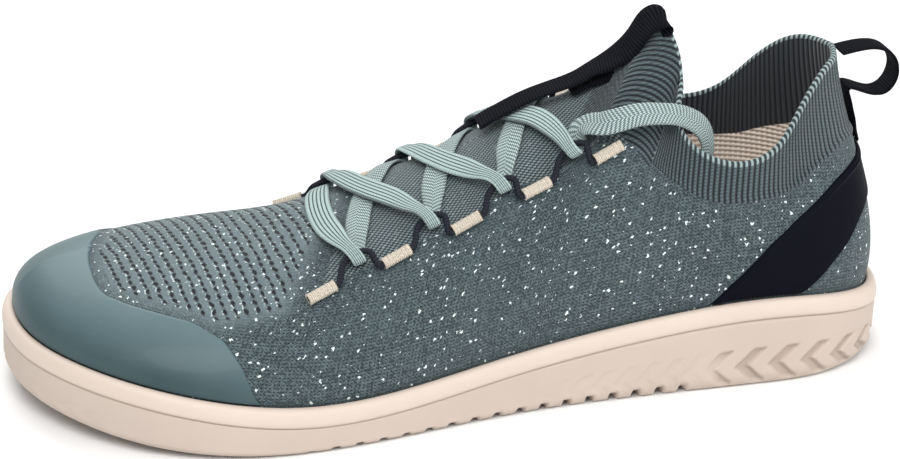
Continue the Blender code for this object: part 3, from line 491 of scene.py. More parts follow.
def knit_material():
    """Four knits in one cloth, blended by distances that the mesh carries in millimetres."""
    net = Net("knit", 0.92, sheen=0.15)
    vector, u, v = net.uv("knit")
    flat, x, w = net.uv("ridge")
    _, cell, _ = cells(vector, 0.00055)
    row = wave(v, COURSE)
    weave = wave(u, WALE) * row
    colour = mix(steps(cell, 0, 1), (0.028, 0.043, 0.049), (0.112, 0.152, 0.167))
    colour = mix(steps(weave + row * 0.6, -0.2, 0.9, 0, 0.88), colour, (0.01, 0.016, 0.019))
    colour = mix(steps(noise(vector, 0.03), 0.35, 0.75, 0, 0.25), colour, (0.066, 0.092, 0.101))
    # forefoot: paler cloth with slits in lines across the foot, large and small by turns
    holes = net.value("holes")
    colour = mix(steps(holes, -7, 3) * 0.55, colour, (0.19, 0.25, 0.26))
    shake = (noise(flat, 0.005) - 0.5) * 0.0021
    slip = (noise(flat, 0.0045) - 0.5) * 0.0016
    p = ((x + w * 0.1 + shake) * (1 / SLIT_PITCH)).fract()
    q = (w + slip) * (1 / SLIT_STEP)
    across = abs(p - 0.5)
    open_zone = steps(holes, -0.4, 0.6)

    def slit(way, wide, tall, size):
        """1 in an oval of these half sizes in the middle of each period, 0 outside."""
        far = ((across * (1 / wide)) ** 2 + (abs(way.fract() - 0.5) * (1 / tall)) ** 2).root()
        return steps(far, 0.75, size, 1, 0)

    hole = slit(q, 0.19, 0.27, 1.15).larger(slit(q * 2, 0.11, 0.26, 1.1)) * open_zone
    stitch = steps(across, 0.1, 0.3, 1, 0) * open_zone * 0.45
    colour = mix(stitch, colour, (0.05, 0.07, 0.076))
    glint = steps(abs(p - 0.72), 0.04, 0.12, 1, 0) * open_zone * (noise(flat, 0.0011) > 0.56)
    # throat: close dots of light and dark yarn
    throat = steps(net.value("throat"), -0.3, 0.5)
    dots = wave(u + w * 0.8, 0.0019) * wave(w, 0.0015)
    dotted = mix(steps(dots, -0.2, 0.5), (0.028, 0.04, 0.046), (0.215, 0.27, 0.28))
    colour = mix(throat, colour, dotted)
    # collar and tongue: ribs, with a pale stitched edge at the top
    collar = steps(net.value("collar"), -0.2, 0.3)
    tongue = steps(net.value("tongue"), -0.2, 0.3)
    rib = wave(net.value("rib")) * collar + wave(net.value("tongue_rib")) * (tongue * (1 - collar))
    ribbed = collar.larger(tongue)
    ribs = mix(steps(rib, -0.7, 0.3), (0.009, 0.013, 0.016), (0.092, 0.127, 0.138))
    ribs = mix(steps(row, 0, 0.8) * 0.55, ribs, (0.016, 0.024, 0.028))
    colour = mix(ribbed, colour, ribs)
    stitched = mix(steps(rib, -0.2, 0.4), (0.03, 0.044, 0.048), (0.4, 0.5, 0.5))
    colour = mix(steps(net.value("edge"), -0.9, -0.2) * 0.75, colour, stitched)
    # white flecks, none on the ribs
    speckle = {0: noise(vector, 0.0009, 3, out=1), "Scale": 0.0019}
    jitter = node(net.tree, "ShaderNodeVectorMath", speckle, operation="SCALE")[0]
    moved = node(net.tree, "ShaderNodeVectorMath", {0: vector, 1: jitter}, operation="ADD")[0]
    distance, pick, size = cells(moved, 0.0021)
    fleck = (distance < steps(size, 0, 1, 0.08, 0.25)) * (pick > 0.34)
    fleck = fleck * (1 - ribbed.larger(throat * 0.85))
    colour = mix(glint * 0.8, colour, (0.52, 0.62, 0.62))
    # painted shade: the slits are painted near black for the shade inside the open holes
    colour = mix(hole, colour, (0.005, 0.008, 0.01))
    colour = mix(fleck * (1 - hole), colour, (0.78, 0.86, 0.86))
    colour = mix(net.value("shade") * 0.6, colour, (0.02, 0.03, 0.034))
    height = (weave * 0.16 + cell * 0.22) * (1 - ribbed) + dots * 0.35 * throat
    height = height + (rib * 0.8 + row * 0.12) * ribbed + (hole * -1.8 + fleck * 0.5)
    return net.finish(colour, height, 0.0004)


def lining_material():
    """Inside of the shoe: dark ribs under the collar, cream mesh with dimples below."""
    net = Net("lining", 0.9, sheen=0.2)
    _, u, v = net.uv("knit")
    dimple = wave(u + v, 0.0037) * wave(u - v, 0.0037)
    cream = mix(steps(dimple, 0.1, 0.8), (1, 0.9, 0.8), (0.72, 0.58, 0.47))
    rib = wave(net.value("rib"))
    dark = mix(steps(rib, -0.6, 0.4), (0.006, 0.008, 0.012), (0.04, 0.05, 0.06))
    share = steps(net.value("inner"), -0.3, 0.3)
    return net.finish(mix(share, cream, dark), dimple * -0.8 * (1 - share) + rib * 0.7 * share, 0.0004)


# %% Film, rubber, webbing, laces
def film_material():
    """Moulded film, darker low down and along its upper edge."""
    net = Net("toe_film", 0.48, coat=0.04)
    vector = net.uv("knit")[0]
    colour = mix(steps(net.value("rise"), 0, 0.024), (0.03, 0.062, 0.069), (0.104, 0.165, 0.178))
    colour = mix(steps(noise(vector, 0.04), 0.3, 0.8, 0, 0.25), colour, (0.15, 0.215, 0.23))
    colour = mix(steps(net.value("rim"), 0, 0.9, 0.75, 0), colour, (0.03, 0.048, 0.054))
    return net.finish(colour, noise(vector, 0.0012, 3), 0.00006)


def rubber_material(name, colour, patch, roughness):
    """Pale rubber with soft patches, darker where the mesh carries a shade."""
    net = Net(name, roughness)
    place = node(net.tree, "ShaderNodeTexCoord", {})[3]
    colour = mix(steps(noise(place, 0.03), 0.3, 0.8, 0, 0.5), colour, patch)
    colour = mix(net.value("shade") * 0.8, colour, (0.24, 0.17, 0.13))
    return net.finish(colour, noise(place, 0.0009, 3), 0.00005)


def band_material():
    """Dull dark film with a fine grain."""
    net = Net("dark_band", 0.6, specular=0.05)
    return net.finish((0.0028, 0.0034, 0.0072), noise(net.uv("knit")[0], 0.0008), 0.00005)


def webbing_material():
    """Nearly black webbing with fine ribs across it."""
    net = Net("webbing", 0.85, specular=0.1)
    _, u, v = net.uv("ribbon")
    rib = wave(u, 0.001)
    colour = mix(steps(rib, -0.5, 0.8), (0.002, 0.0024, 0.004), (0.011, 0.013, 0.022))
    return net.finish(colour, rib * 0.8 + wave(v, 0.0016) * 0.15, 0.00025)


def lace_material():
    """Flat braid, 8 mm wide: dark stripes along the face with v under 1, fine braid on the other."""
    net = Net("lace", 0.85, sheen=0.1)
    vector, u, v = net.uv("ribbon")
    face = v.fract()
    across = face * LACE_WIDTH
    braid = wave(u + abs(face - 0.5) * LACE_WIDTH * 1.2, WALE) * wave(across, 0.0016)
    fine = mix(steps(braid, -0.3, 0.5), (0.085, 0.125, 0.128), (0.5, 0.61, 0.59))
    inside = steps(face, 0.1, 0.14) * steps(face, 0.86, 0.9, 1, 0)
    line = steps(wave(across, 0.00125), 0.25, 0.75) * inside
    pale = mix(steps(wave(u, 0.0012), -0.4, 0.6, 0, 0.4), (0.42, 0.545, 0.525), (0.25, 0.345, 0.338))
    lined = mix(line * 0.92, pale, (0.018, 0.032, 0.036))
    speck, pick, _ = cells(vector, 0.0014)
    striped = v < 1
    fleck = (speck < 0.3) * (pick > 0.9)
    colour = mix(fleck * 0.7, mix(striped, fine, lined), (0.8, 0.88, 0.86))
    return net.finish(colour, braid * 0.5 + line * striped * -0.6, 0.0002)


def cord_material():
    """Dark round braid: a sine along the cord times a sine round it."""
    net = Net("elastic_cord", 0.75)
    _, u, v = net.uv("ribbon")
    braid = wave(u + v * 0.002, 0.0011) * wave(v, 0.25)
    colour = mix(steps(braid, -0.3, 0.6), (0.003, 0.004, 0.008), (0.014, 0.017, 0.03))
    return net.finish(colour, braid, 0.0001)


def thread_material():
    """Cream thread wound round the bar, one period of the sine a turn."""
    net = Net("thread", 0.7, sheen=0.2)
    vector, u, _ = net.uv("ribbon")
    wrap = wave(u + noise(vector, 0.0015) * 0.0006, 0.0007)
    colour = mix(steps(wrap, -0.9, 0), (0.85, 0.68, 0.48), (1, 0.93, 0.79))
    colour = mix(steps(noise(vector, 0.002), 0.4, 0.7, 0, 0.3), colour, (0.97, 0.92, 0.84))
    return net.finish(colour, wrap, 0.00016)


KNIT = knit_material()
LINING = lining_material()
FILM = film_material()
SOLE = rubber_material("sole_rubber", (0.555, 0.465, 0.4), (0.51, 0.42, 0.36), 0.7)
RIM_RUBBER = rubber_material("rim_rubber", (0.64, 0.54, 0.465), (0.6, 0.5, 0.43), 0.5)
BAND = band_material()
WEBBING = webbing_material()
LACE = lace_material()
CORD = cord_material()
THREAD = thread_material()
print("materials", len(bpy.data.materials))

# %% [markdown]
# ## The knitted upper
#
# One grid a side, from inside the sole's cup to the collar or ridge. Zones are written as distances in
# millimetres, positive inside, so that the material can draw their edges sharply.

# %% Coordinates of the cloth
def smooth_edge(table, station):
    """Level of an edge at each station: straight runs between the table's points, softened a little."""
    table = np.array(table)
    return sum(weight * np.interp(station + step, table[:, 0], table[:, 1])
               for step, weight in ((-0.008, 0.1), (-0.004, 0.2), (0, 0.4), (0.004, 0.2), (0.008, 0.1)))


STATION_LINE = np.linspace(0, 1, 801)
AROUND = {side: travel(skin(side, STATION_LINE, np.full(801, 0.45))) for side in (1, -1)}
RIB_LINE = travel(top_line(1, STATION_LINE)[0])


def cloth(side, stations, levels):
    """Points, normals and coordinates of a grid of the knit: station and level for each row and column.
    Knit UV is the way round the shoe and up from the rim; ridge UV is x and the way from the ridge."""
    s = np.broadcast_to(stations[:, None], (len(stations), levels.shape[-1])).copy()
    t = np.broadcast_to(levels, s.shape).copy()
    at = np.full(s.shape, side)
    points = skin(at, s, t)
    normal = skin_normal(at, s, t)
    seam = (s < 1e-6) | (s > 1 - 1e-6) | ((t > 0.9995) & (s > TIP))
    normal = np.where(seam[..., None], unit(normal + skin_normal(-at, s, t)), normal)
    fine = np.linspace(0, 1, 60)
    full = travel(skin(*np.broadcast_arrays(side, stations[:, None], fine[None])))
    up = np.stack([np.interp(row, fine, line) for row, line in zip(np.clip(t, 0, 1), full)])
    top = np.abs(top_line(side, stations)[0][:, 1:2] - top_line(side, np.maximum(stations, TIP))[0][:, 1:2])
    away = side * (top + full[:, -1:] - up)
    u = np.interp(s, STATION_LINE, AROUND[side])
    knit = np.stack([side * u, up + 0.012 * np.minimum(t, 0)], -1)
    ridge = np.stack([points[..., 0], away], -1)
    return s, t, points, normal, knit, ridge, full[:, -1:]


def zones(side, s, t, length, away):
    """Distances in millimetres into each kind of knit, positive inside, and ribs counted along the edge."""
    mm = length * 1000
    mitre = (0.352 - s) * STATION_MM
    tongue = np.minimum(np.minimum((t - 0.6) * mm, -mitre), (0.452 - s) * STATION_MM)
    bars = np.array([((a + c) / 2, (b + d) / 2) for a, b, c, d in TUNNELS])[::-1]
    above_bars = t - np.interp(s, bars[:, 0], bars[:, 1]) - 0.035
    throat = np.minimum(above_bars * mm, np.minimum((s - 0.385) * STATION_MM, (0.668 - s) * STATION_MM))
    cap = CAP_EDGE[side]
    clear = np.where(s > cap[0][0], (t - smooth_edge(cap, np.maximum(s, cap[0][0]))) * mm, 9)
    above_side = (t - 0.42 - 0.9 * np.clip(0.75 - s, 0, 1)) * mm
    return {"collar": np.minimum((t - smooth_edge(RIB_FOOT, s)) * mm, mitre),
            "tongue": tongue, "throat": throat,
            "holes": np.minimum(np.minimum((s - 0.7) * STATION_MM, clear - 3.6), above_side),
            "edge": np.where(s < TIP + 0.01, (t - 1) * mm, -9),
            "rib": np.interp(s, STATION_LINE, RIB_LINE) / RIB_PITCH,
            "tongue_rib": np.abs(away) / TONGUE_RIB_PITCH}


# Creases of the knit: station, level, length and width as stations, depth, slope of the line
CREASES = [
    (0.7, 0.62, 0.03, 0.01, 0.0006, 0.3), (0.735, 0.52, 0.04, 0.01, 0.0005, -0.2),
    (0.66, 0.36, 0.045, 0.012, 0.0005, 0.5), (0.33, 0.56, 0.03, 0.012, 0.0006, -0.6),
    (0.18, 0.6, 0.04, 0.012, 0.0005, 0.2), (0.62, 0.2, 0.05, 0.014, 0.0004, 0.2),
    (0.27, 0.35, 0.06, 0.016, 0.0005, -0.3), (0.47, 0.3, 0.07, 0.016, 0.0004, 0.1),
]


def relief(s, t):
    """Soft troughs of the creases, each a long narrow bell."""
    height = np.zeros_like(s)
    for station, level, long, wide, depth, slope in CREASES:
        a = (s - station) + slope * (t - level) * 0.3
        b = (t - level) * 0.3 - slope * (s - station)
        height -= depth * np.exp(-(a / wide) ** 2 - (b / long) ** 2)
    return height


# %% Outside of the knit
knit = Builder()
levels = np.concatenate([[-1], np.linspace(0, 1, 106)])
stations = np.linspace(0, 1, 300)
for side in (1, -1):
    s, t, points, normal, uv_knit, uv_ridge, length = cloth(side, stations, levels[None])
    zone = zones(side, s, t, length, uv_ridge[..., 1])
    lift = relief(s, t) * (t > 0)
    lift += 0.0007 * np.exp(-((zone["collar"] - 0.6) / 1.2) ** 2) * (s < 0.36)
    points = points + normal * lift[..., None]
    shade = np.clip(1 - uv_knit[..., 1] / 0.003, 0, 1) * 0.6 + np.clip(-lift * 500, 0, 0.35)
    knit.grid(points, {"knit": uv_knit, "ridge": uv_ridge}, flip=side < 0, shade=shade, **zone)
    # the rolled edge of the collar
    rim = np.append(stations[stations <= TIP], TIP)
    s, t, top, normal, uv_knit, uv_ridge, length = cloth(side, rim, np.ones((1, 1)))
    below = skin(side, rim, np.full(len(rim), 0.985))[:, None]
    rise = unit(top - below)
    angle = np.linspace(0, math.pi, 9)[None, :, None]
    roll = top - normal * UPPER_WALL / 2 + (normal * np.cos(angle) + rise * np.sin(angle)) * UPPER_WALL / 2
    wide = np.repeat(uv_knit, 9, 1) + np.stack([np.zeros((1, 9)), np.linspace(0, 0.003, 9)[None]], -1)
    zone = {k: np.repeat(v, 9, 1) for k, v in zones(side, s, t, length, uv_ridge[..., 1]).items()}
    knit.grid(roll, {"knit": wide, "ridge": np.repeat(uv_ridge, 9, 1)}, flip=side < 0, shade=0, **zone)
knit.finish("knit_upper", KNIT, ["upper"], "knit")

# %% Inside of the knit
inside = Builder()
levels = np.concatenate([np.linspace(1, 0, 60), [-1, -2]])
stations = np.linspace(0, 1, 200)
for side in (1, -1):
    s, t, points, normal, uv_knit, uv_ridge, length = cloth(side, stations, levels[None])
    flat = np.where((t < -0.5)[..., None], unit(normal * [1, 1, 0]), normal)
    points = points - flat * UPPER_WALL
    foot = smooth_edge(RIB_FOOT, s) - 0.02 - 0.07 * smooth((0.24 - s) / 0.14)
    rib_depth = np.minimum((t - foot) * length * 1000, (0.47 - s) * STATION_MM)
    inside.grid(points, {"knit": uv_knit}, flip=side < 0, inner=rib_depth,
                rib=np.interp(s, STATION_LINE, RIB_LINE) / RIB_PITCH)
inside.finish("knit_lining", LINING, ["upper"], "lining")


# %% [markdown]
# ## Film on the toe and band round the heel
#
# Both are thin slabs that follow the knit. Their height over it falls to nothing within a millimetre of
# every edge, which leaves a small rounded step.

# %% Slabs on the knit
EDGE_RUN = 0.0008
SINK = 0.0002


def slab(name, material, node, slot_name, stations, low, high, thickness, bead):
    """A sheet between the levels low and high on both sides, with a raised bead along its upper edge.
    Its edges sink into the knit over EDGE_RUN; where it is whole over the ridge it has no upper edge."""
    made = Builder()
    share = np.array([0, 0.006, 0.014, 0.026, *np.linspace(0.045, 0.955, 66), 0.974, 0.986, 0.994, 1])
    for side in (1, -1):
        a = low(side, stations)[:, None]
        b = np.maximum(high(side, stations)[:, None], a + 0.002)
        _, _, points, normal, uv_knit, _, length = cloth(side, stations, a + (b - a) * share[None])
        width = (b - a) * length
        whole = b > 0.999
        away = (1 - share[None]) * width
        edge = np.where(whole, 1, smooth(away / EDGE_RUN))
        lift = (thickness + GAP + SINK) * np.minimum(edge, smooth(share[None] * width / EDGE_RUN)) - SINK
        lift = lift + bead * np.exp(-((away - 0.0021) / 0.0006) ** 2) * np.where(whole, 0, 1)
        near = np.where(whole, 9, away * 1000)
        made.grid(points + normal * lift[..., None], {"knit": uv_knit}, flip=side < 0,
                  rise=points[..., 2] - rim_top(points[..., 0]), rim=near, shade=0)
    return made.finish(name, material, [node], slot_name)


slab("toe_film_skin", FILM, "toe_film", "toe_film", np.linspace(CAP_EDGE[1][0][0], 1, 150),
     lambda side, s: np.full(s.shape, 0.004), lambda side, s: smooth_edge(CAP_EDGE[side], s),
     FILM_THICKNESS * 0.6, 0)
slab("heel_band_skin", BAND, "heel_band", "dark_trim", np.linspace(0, BAND_TOP[-1][0], 120),
     lambda side, s: np.maximum(smooth_edge(BAND_FOOT, s), 0.004), lambda side, s: smooth_edge(BAND_TOP, s),
     BAND_THICKNESS * 0.7, 0.00045)

# %% [markdown]
# ## The sole
#
# Rings round the outline, from the cup's edge down to the tread. Chevrons are cut into the side where
# `chevrons` is near 1. Fine grooves cross the tread; the solid has fewer and wider ones.

# %% Rings round the sole
COUNT = 1300
NOTCHES = 43
CHEVRON_DEPTH = 0.0014
LIP = 0.0004


def round_trip(count):
    """Side and station of each point of a ring: out along the outer side, back along the inner one."""
    share = np.linspace(0, 1, count // 2 + 1)
    side = np.concatenate([np.ones(len(share)), -np.ones(len(share) - 1)])
    return side, np.concatenate([share, share[-2::-1]])


def round_ring(count, inset, height):
    """One row of points once round the sole, moved in by inset, at a height that is a function of x."""
    plan, _ = outline(*round_trip(count), inset)
    return np.column_stack([plan, height(plan[:, 0])])


def across_ring(ring, columns):
    """Rows of points from the outer half of a ring to the inner half, and their share of the way."""
    half = len(ring) // 2 + 1
    share = np.linspace(0, 1, columns)[None, :, None]
    left, right = ring[:half, None], ring[::-1][:half, None]
    return left + (right - left) * share, share[..., 0]


def window(value, low, high, rise, fall):
    """1 between low and high, falling softly to 0 over rise and fall inside them."""
    return smooth((value - low) / rise) * smooth((high - value) / fall)


def chevrons(u, w, start, pitch, low, high, thick=0.3):
    """Share from 0 to 1 of a chain of chevrons: u along the sole, w the height share, point at mid height."""
    phase = np.mod((u - start) / pitch + 2.2 * np.abs(w - (low + high) / 2), 1)
    return window(phase, thick, 0.86, 0.07, 0.07) * window(w, low, high, 0.05, 0.07)


def tread_groove(station):
    """1 in the grooves across the tread, 0 on the lands; half a groove is a fifth of the pitch."""
    phase = station * NOTCHES
    return smooth((0.2 - np.abs(phase - np.round(phase))) / 0.08)


def seam(x):
    """Height where the outsole ends and the rim starts."""
    return rim_top(x) - RIM_BAND - GAP


side_rows = [1, 0.995, 0.985, *np.linspace(0.96, 0.16, 34), 0.12, 0.09, 0.06, 0.03, 0.012, 0]
rows, shades = [], []
station = round_trip(COUNT)[1]
u = travel(round_ring(COUNT, 0, ground))
heel = smooth((0.262 - station) / 0.03)
middle = window(station, 0.24, 0.42, 0.03, 0.05)
toe = smooth((station - 0.8) / 0.06)
front = window(station, 0.26, 0.66, 0.03, 0.05)
for w in side_rows:
    lugs = chevrons(u, w, 0, 0.0115, 0.06, 0.6, 0.42) * heel
    cut = lugs + 0.16 * chevrons(u, w, 0.004, 0.0078, 0.04, 0.62) * middle
    cut = cut + 0.12 * chevrons(u, w, 0, 0.009, 0.1, 0.55) * toe
    notch = tread_groove(station) * smooth((0.22 - w) / 0.14) * front
    rounding = EDGE_ROUND * (1 - math.sqrt(max(0, 1 - max(0, (0.22 - w) / 0.22) ** 2)))
    inset = rounding + LIP * smooth((w - 0.97) / 0.02) + CHEVRON_DEPTH * cut + LUG_DEPTH * notch
    ring = round_ring(COUNT, inset, lambda x: ground(x) + w * (seam(x) - ground(x)))
    ring[:, 2] += LUG_DEPTH * 0.8 * notch * smooth((0.14 - w) / 0.14)
    rows.append(ring)
    shades.append(0.3 * lugs + 0.8 * notch * smooth((0.2 - w) / 0.12) + 0.7 * (w > 0.985))
outsole = Builder()
grid = np.stack([round_ring(COUNT, CUP_WALL, seam)] + rows)
outsole.grid(grid, {}, shade=np.vstack([shades[0]] + shades))
# the tread, a ladder of rows from the outer edge to the inner one
tread, share = across_ring(rows[-1], 41)
line = np.linspace(0, 1, COUNT // 2 + 1)[:, None]
groove = tread_groove(line) * window(line, 0.03, 0.97, 0.04, 0.05)
tread[..., 0] += (0.5 - np.abs(share - 0.5)) * 0.085 * LENGTH * window(line, 0.02, 0.98, 0.1, 0.1)
inner = np.minimum(1, np.minimum(share, 1 - share) / 0.05)
tread[..., 2] = tread[..., 2] * (1 - inner) + inner * (ground(tread[..., 0]) + LUG_DEPTH * groove)
outsole.grid(tread, {}, flip=True, shade=0.5 * groove * inner)
outsole.finish("sole_tread", SOLE, ["outsole"], "sole_rubber")

# %% Rim of the sole, footbed
# Profile of the rim: inset as a share of its width, depth under its top as a share of its height
PROFILE = [(0, 1.05), (-0.05, 1), (-0.1, 0.9), (-0.11, 0.75), (-0.08, 0.6), (-0.03, 0.45), (0.03, 0.32),
           (0.11, 0.2), (0.22, 0.1), (0.35, 0.04), (0.5, 0), (0.75, 0), (0.92, 0.02), (1, 0.1)]
rim = Builder()
rows = [round_ring(COUNT, CUP_WALL, lambda x: rim_top(x) - RIM_BAND)]
for a, b in PROFILE:
    rows.append(round_ring(COUNT, a * RIM_WIDTH, lambda x: rim_top(x) - b * RIM_BAND))
rows += [round_ring(COUNT, CUP_INSET - GAP, height) for height in (knee, floor_top)]
shade = np.zeros((len(rows), COUNT + 1))
shade[:2] = 0.9
shade[2] = 0.4
shade[-4] = 0.3
rim.grid(np.stack(rows), {}, flip=True, shade=shade)
rim.finish("sole_rim", RIM_RUBBER, ["midsole"], "rim_rubber")

bed = Builder()
inset = CUP_INSET + UPPER_WALL + 2 * GAP
ring = round_ring(400, inset, lambda x: floor_top(x) + GAP + INSOLE_THICKNESS)
wall = np.stack([ring, round_ring(400, inset, lambda x: floor_top(x) + GAP)])
for grid in (across_ring(ring, 31)[0], wall):
    bed.grid(grid, {"knit": grid[..., :2]}, inner=-9, rib=0)
bed.finish("footbed", LINING, ["insole"], "lining")

# %% [markdown]
# ## Cords, bars and laces
#
# Everything round or flat that runs along a line is a `tube` or a `ribbon`. The line comes from the same
# tables as the solids, then is read again at short steps from a cubic curve.

# %% Lines of the lacing
def eyes(side):
    """Ends, axis and middle of each cord tunnel of one side, with its normal."""
    found = []
    for s0, t0, s1, t1 in TUNNELS:
        ends = side, np.array([s0, s1]), np.array([t0, t1])
        spots = skin(*ends)
        normal = unit(skin_normal(*ends).sum(0))
        middle = spots.mean(0) + normal * (GAP * 1.6 + TUNNEL_DIAMETER / 2)
        axis = unit(spots[1] - spots[0])
        found.append((middle - axis * TUNNEL_LENGTH / 2, middle + axis * TUNNEL_LENGTH / 2, axis, normal))
    return found


FOLD_RADIUS = CORD_DIAMETER / 2 + GAP + 0.0004 + LACE_THICKNESS / 2
LEG_UNDER = GAP + 0.0002 + LACE_THICKNESS / 2
LEG_OVER = LEG_UNDER + LACE_THICKNESS + GAP + 0.0003
CORD_LIFT = LEG_UNDER + FOLD_RADIUS


def fold(side, number):
    """Centre of a fold of the lace, its axis along the cord towards the heel, the skin's normal, and the
    direction away from the ridge."""
    station, level, extra = FOLDS[number - 1]
    spot = skin(side, station, level)
    normal = skin_normal(side, station, level)
    ends = eyes(side)
    axis = unit(ends[number][0] - ends[number - 1][1])
    axis = unit(axis - normal * (axis * normal).sum())
    away = np.cross(normal, axis)
    away = away * (1 if away[1] * side > 0 else -1)
    return spot + normal * (CORD_LIFT + extra), axis, normal, away


def hermite(a, b, da, db):
    """Five steps of the cubic curve from a to b that leaves along da and arrives along db."""
    t = np.linspace(0, 1, 6)[:, None]
    return ((2 * t ** 3 - 3 * t ** 2 + 1) * a + (t ** 3 - 2 * t ** 2 + t) * da
            + (3 * t ** 2 - 2 * t ** 3) * b + (t ** 3 - t ** 2) * db)


# Side and number of each fold along the lace, and whether the lace comes to it over the cord
ROUTE = [(1, 4, False), (-1, 3, True), (1, 2, False), (-1, 1, True),
         (1, 1, True), (-1, 2, False), (1, 3, True), (-1, 4, False)]
LEG_HEIGHT = [LEG_OVER, LEG_UNDER, LEG_OVER, LEG_UNDER, LEG_UNDER, LEG_OVER, LEG_UNDER]
# How far the middle of each leg bows towards the toe
LEG_BOW = [0.0035, 0.0045, 0.0055, 0.007, 0.0055, 0.0055, 0.0035]
BEND_POINTS = 7
LEG_POINTS = 8


def lace_line():
    """Path, normals and widths of the lace, from under the cord at the near top fold to the far one."""
    folds = [fold(side, number) for side, number, _ in ROUTE]
    turn = math.pi * FOLD_RADIUS
    share = np.linspace(0, 1, BEND_POINTS)[:, None]
    bends = []
    for k, (centre, axis, normal, away) in enumerate(folds):
        found = []
        for other, sign in ((k - 1, 1), (k + 1, -1)):
            if 0 <= other < len(folds):
                move = (centre - folds[other][0]) * sign
                found.append((move * axis).sum() / max((move * away).sum() * sign, 1e-6))
        slope = float(np.clip(np.mean(found), -0.18, 0.18))
        over = ROUTE[k][2]
        angle = share * math.pi if over else math.pi - share * math.pi
        radial = np.cos(angle) * normal + np.sin(angle) * away
        bends.append((centre + FOLD_RADIUS * radial + axis * (share - 0.5) * turn * slope,
                      radial if over else -radial))
    path, facing, width = [], [], []
    share = np.linspace(0, 1, LEG_POINTS + 2)[1:-1]
    sign = 1
    for k, (bend, radial) in enumerate(bends):
        path += list(bend)
        facing += list(radial * sign)
        width += [LACE_PINCH] * len(bend)
        sign = -sign
        if k == len(folds) - 1:
            break
        lifts = [LEG_UNDER + FOLDS[ROUTE[n][1] - 1][2] + (2 * FOLD_RADIUS if ROUTE[n][2] == high else 0)
                 for n, high in ((k, False), (k + 1, True))]
        start = bend[-1] - folds[k][2] * lifts[0]
        end = bends[k + 1][0][0] - folds[k + 1][2] * lifts[1]
        bow = np.stack([LEG_BOW[k] * 4 * share * (1 - share), np.zeros(LEG_POINTS)], -1)
        surface, normal = drop(start[:2] + (end - start)[:2] * share[:, None] + bow)
        middle = LEG_HEIGHT[k]
        lift = middle + (lifts[0] - middle) * np.clip(1 - share / 0.42, 0, 1) ** 1.6
        lift = lift + (lifts[1] - middle) * np.clip(1 - (1 - share) / 0.42, 0, 1) ** 1.6
        path += list(surface + normal * lift[:, None])
        facing += list(normal * sign)
        width += list(LACE_PINCH + (LACE_WIDTH - LACE_PINCH) * smooth(np.minimum(share, 1 - share) / 0.3))
    path.append(path[-1] + unit(path[-1] - path[-2]) * 0.002)
    return path, facing + facing[-1:], width + [LACE_PINCH]


def again(line, *others, step=0.0007):
    """The same line read at even steps, and whatever goes with it."""
    knots = travel(np.array(line))
    at = np.linspace(0, knots[-1], int(knots[-1] / step) + 2)
    return [spline(knots, np.array(part, float), at) for part in (line, *others)]


def tube(made, line, radius, sides, first, **values):
    """A round surface along a line; radius is one value or one a point. Its ends stay open."""
    along = unit(np.gradient(line, axis=0))
    across = np.zeros_like(line)
    across[0] = unit(first - along[0] * (first * along[0]).sum())
    for i in range(1, len(line)):
        across[i] = unit(across[i - 1] - along[i] * (across[i - 1] * along[i]).sum())
    angle = np.linspace(0, 2 * math.pi, sides + 1)[None, :, None]
    other = np.cross(along, across)
    size = np.broadcast_to(radius, (len(line),))[:, None, None]
    points = line[:, None] + size * (np.cos(angle) * across[:, None] + np.sin(angle) * other[:, None])
    uv = np.stack(np.broadcast_arrays(travel(line)[:, None], np.linspace(0, 1, sides + 1)[None]), -1)
    made.grid(points, {"ribbon": uv}, **values)


def ribbon(made, line, facing, width, thickness, columns=11, swap=None, bow=0, **values):
    """A flat band with round edges along a line; bow bends its edges back. v goes from 0 to 1 on the face
    that facing points to and from 1 to 2 on the back, or the other way round where swap is set."""
    along = unit(np.gradient(line, axis=0))
    facing = unit(facing - along * (facing * along).sum(-1, keepdims=True))
    across = np.cross(along, facing)[:, None]
    facing = facing[:, None]
    a = np.linspace(-1, 1, columns)
    arch = np.sqrt(1 - np.abs(a) ** 5)
    a = np.concatenate([a, a[-2::-1]])[None, :, None]
    arch = np.concatenate([arch, -arch[-2::-1]])[None, :, None]
    width, bow = [np.broadcast_to(each, (len(line),))[:, None, None] for each in (width, bow)]
    points = line[:, None] + across * (width / 2) * a + facing * (thickness / 2) * arch
    points = points - facing * bow * a ** 2
    v = np.concatenate([np.linspace(0, 1, columns).clip(0.001, 0.999),
                        np.linspace(1, 2, columns)[1:].clip(1.001, 1.999)])
    v = np.broadcast_to(v[None], points.shape[:2]).copy()
    if swap is not None:
        v[swap] = np.mod(v[swap] + 1, 2)
    uv = np.stack([np.broadcast_to(travel(line)[:, None], v.shape), v], -1)
    made.grid(points, {"ribbon": uv}, flip=True, **values)
    for end, turn in ((points[0], False), (points[-1], True)):
        cap = np.stack([end[:columns], end[::-1][:columns]])
        made.grid(cap, {"ribbon": np.zeros((2, columns, 2))}, flip=turn, **values)


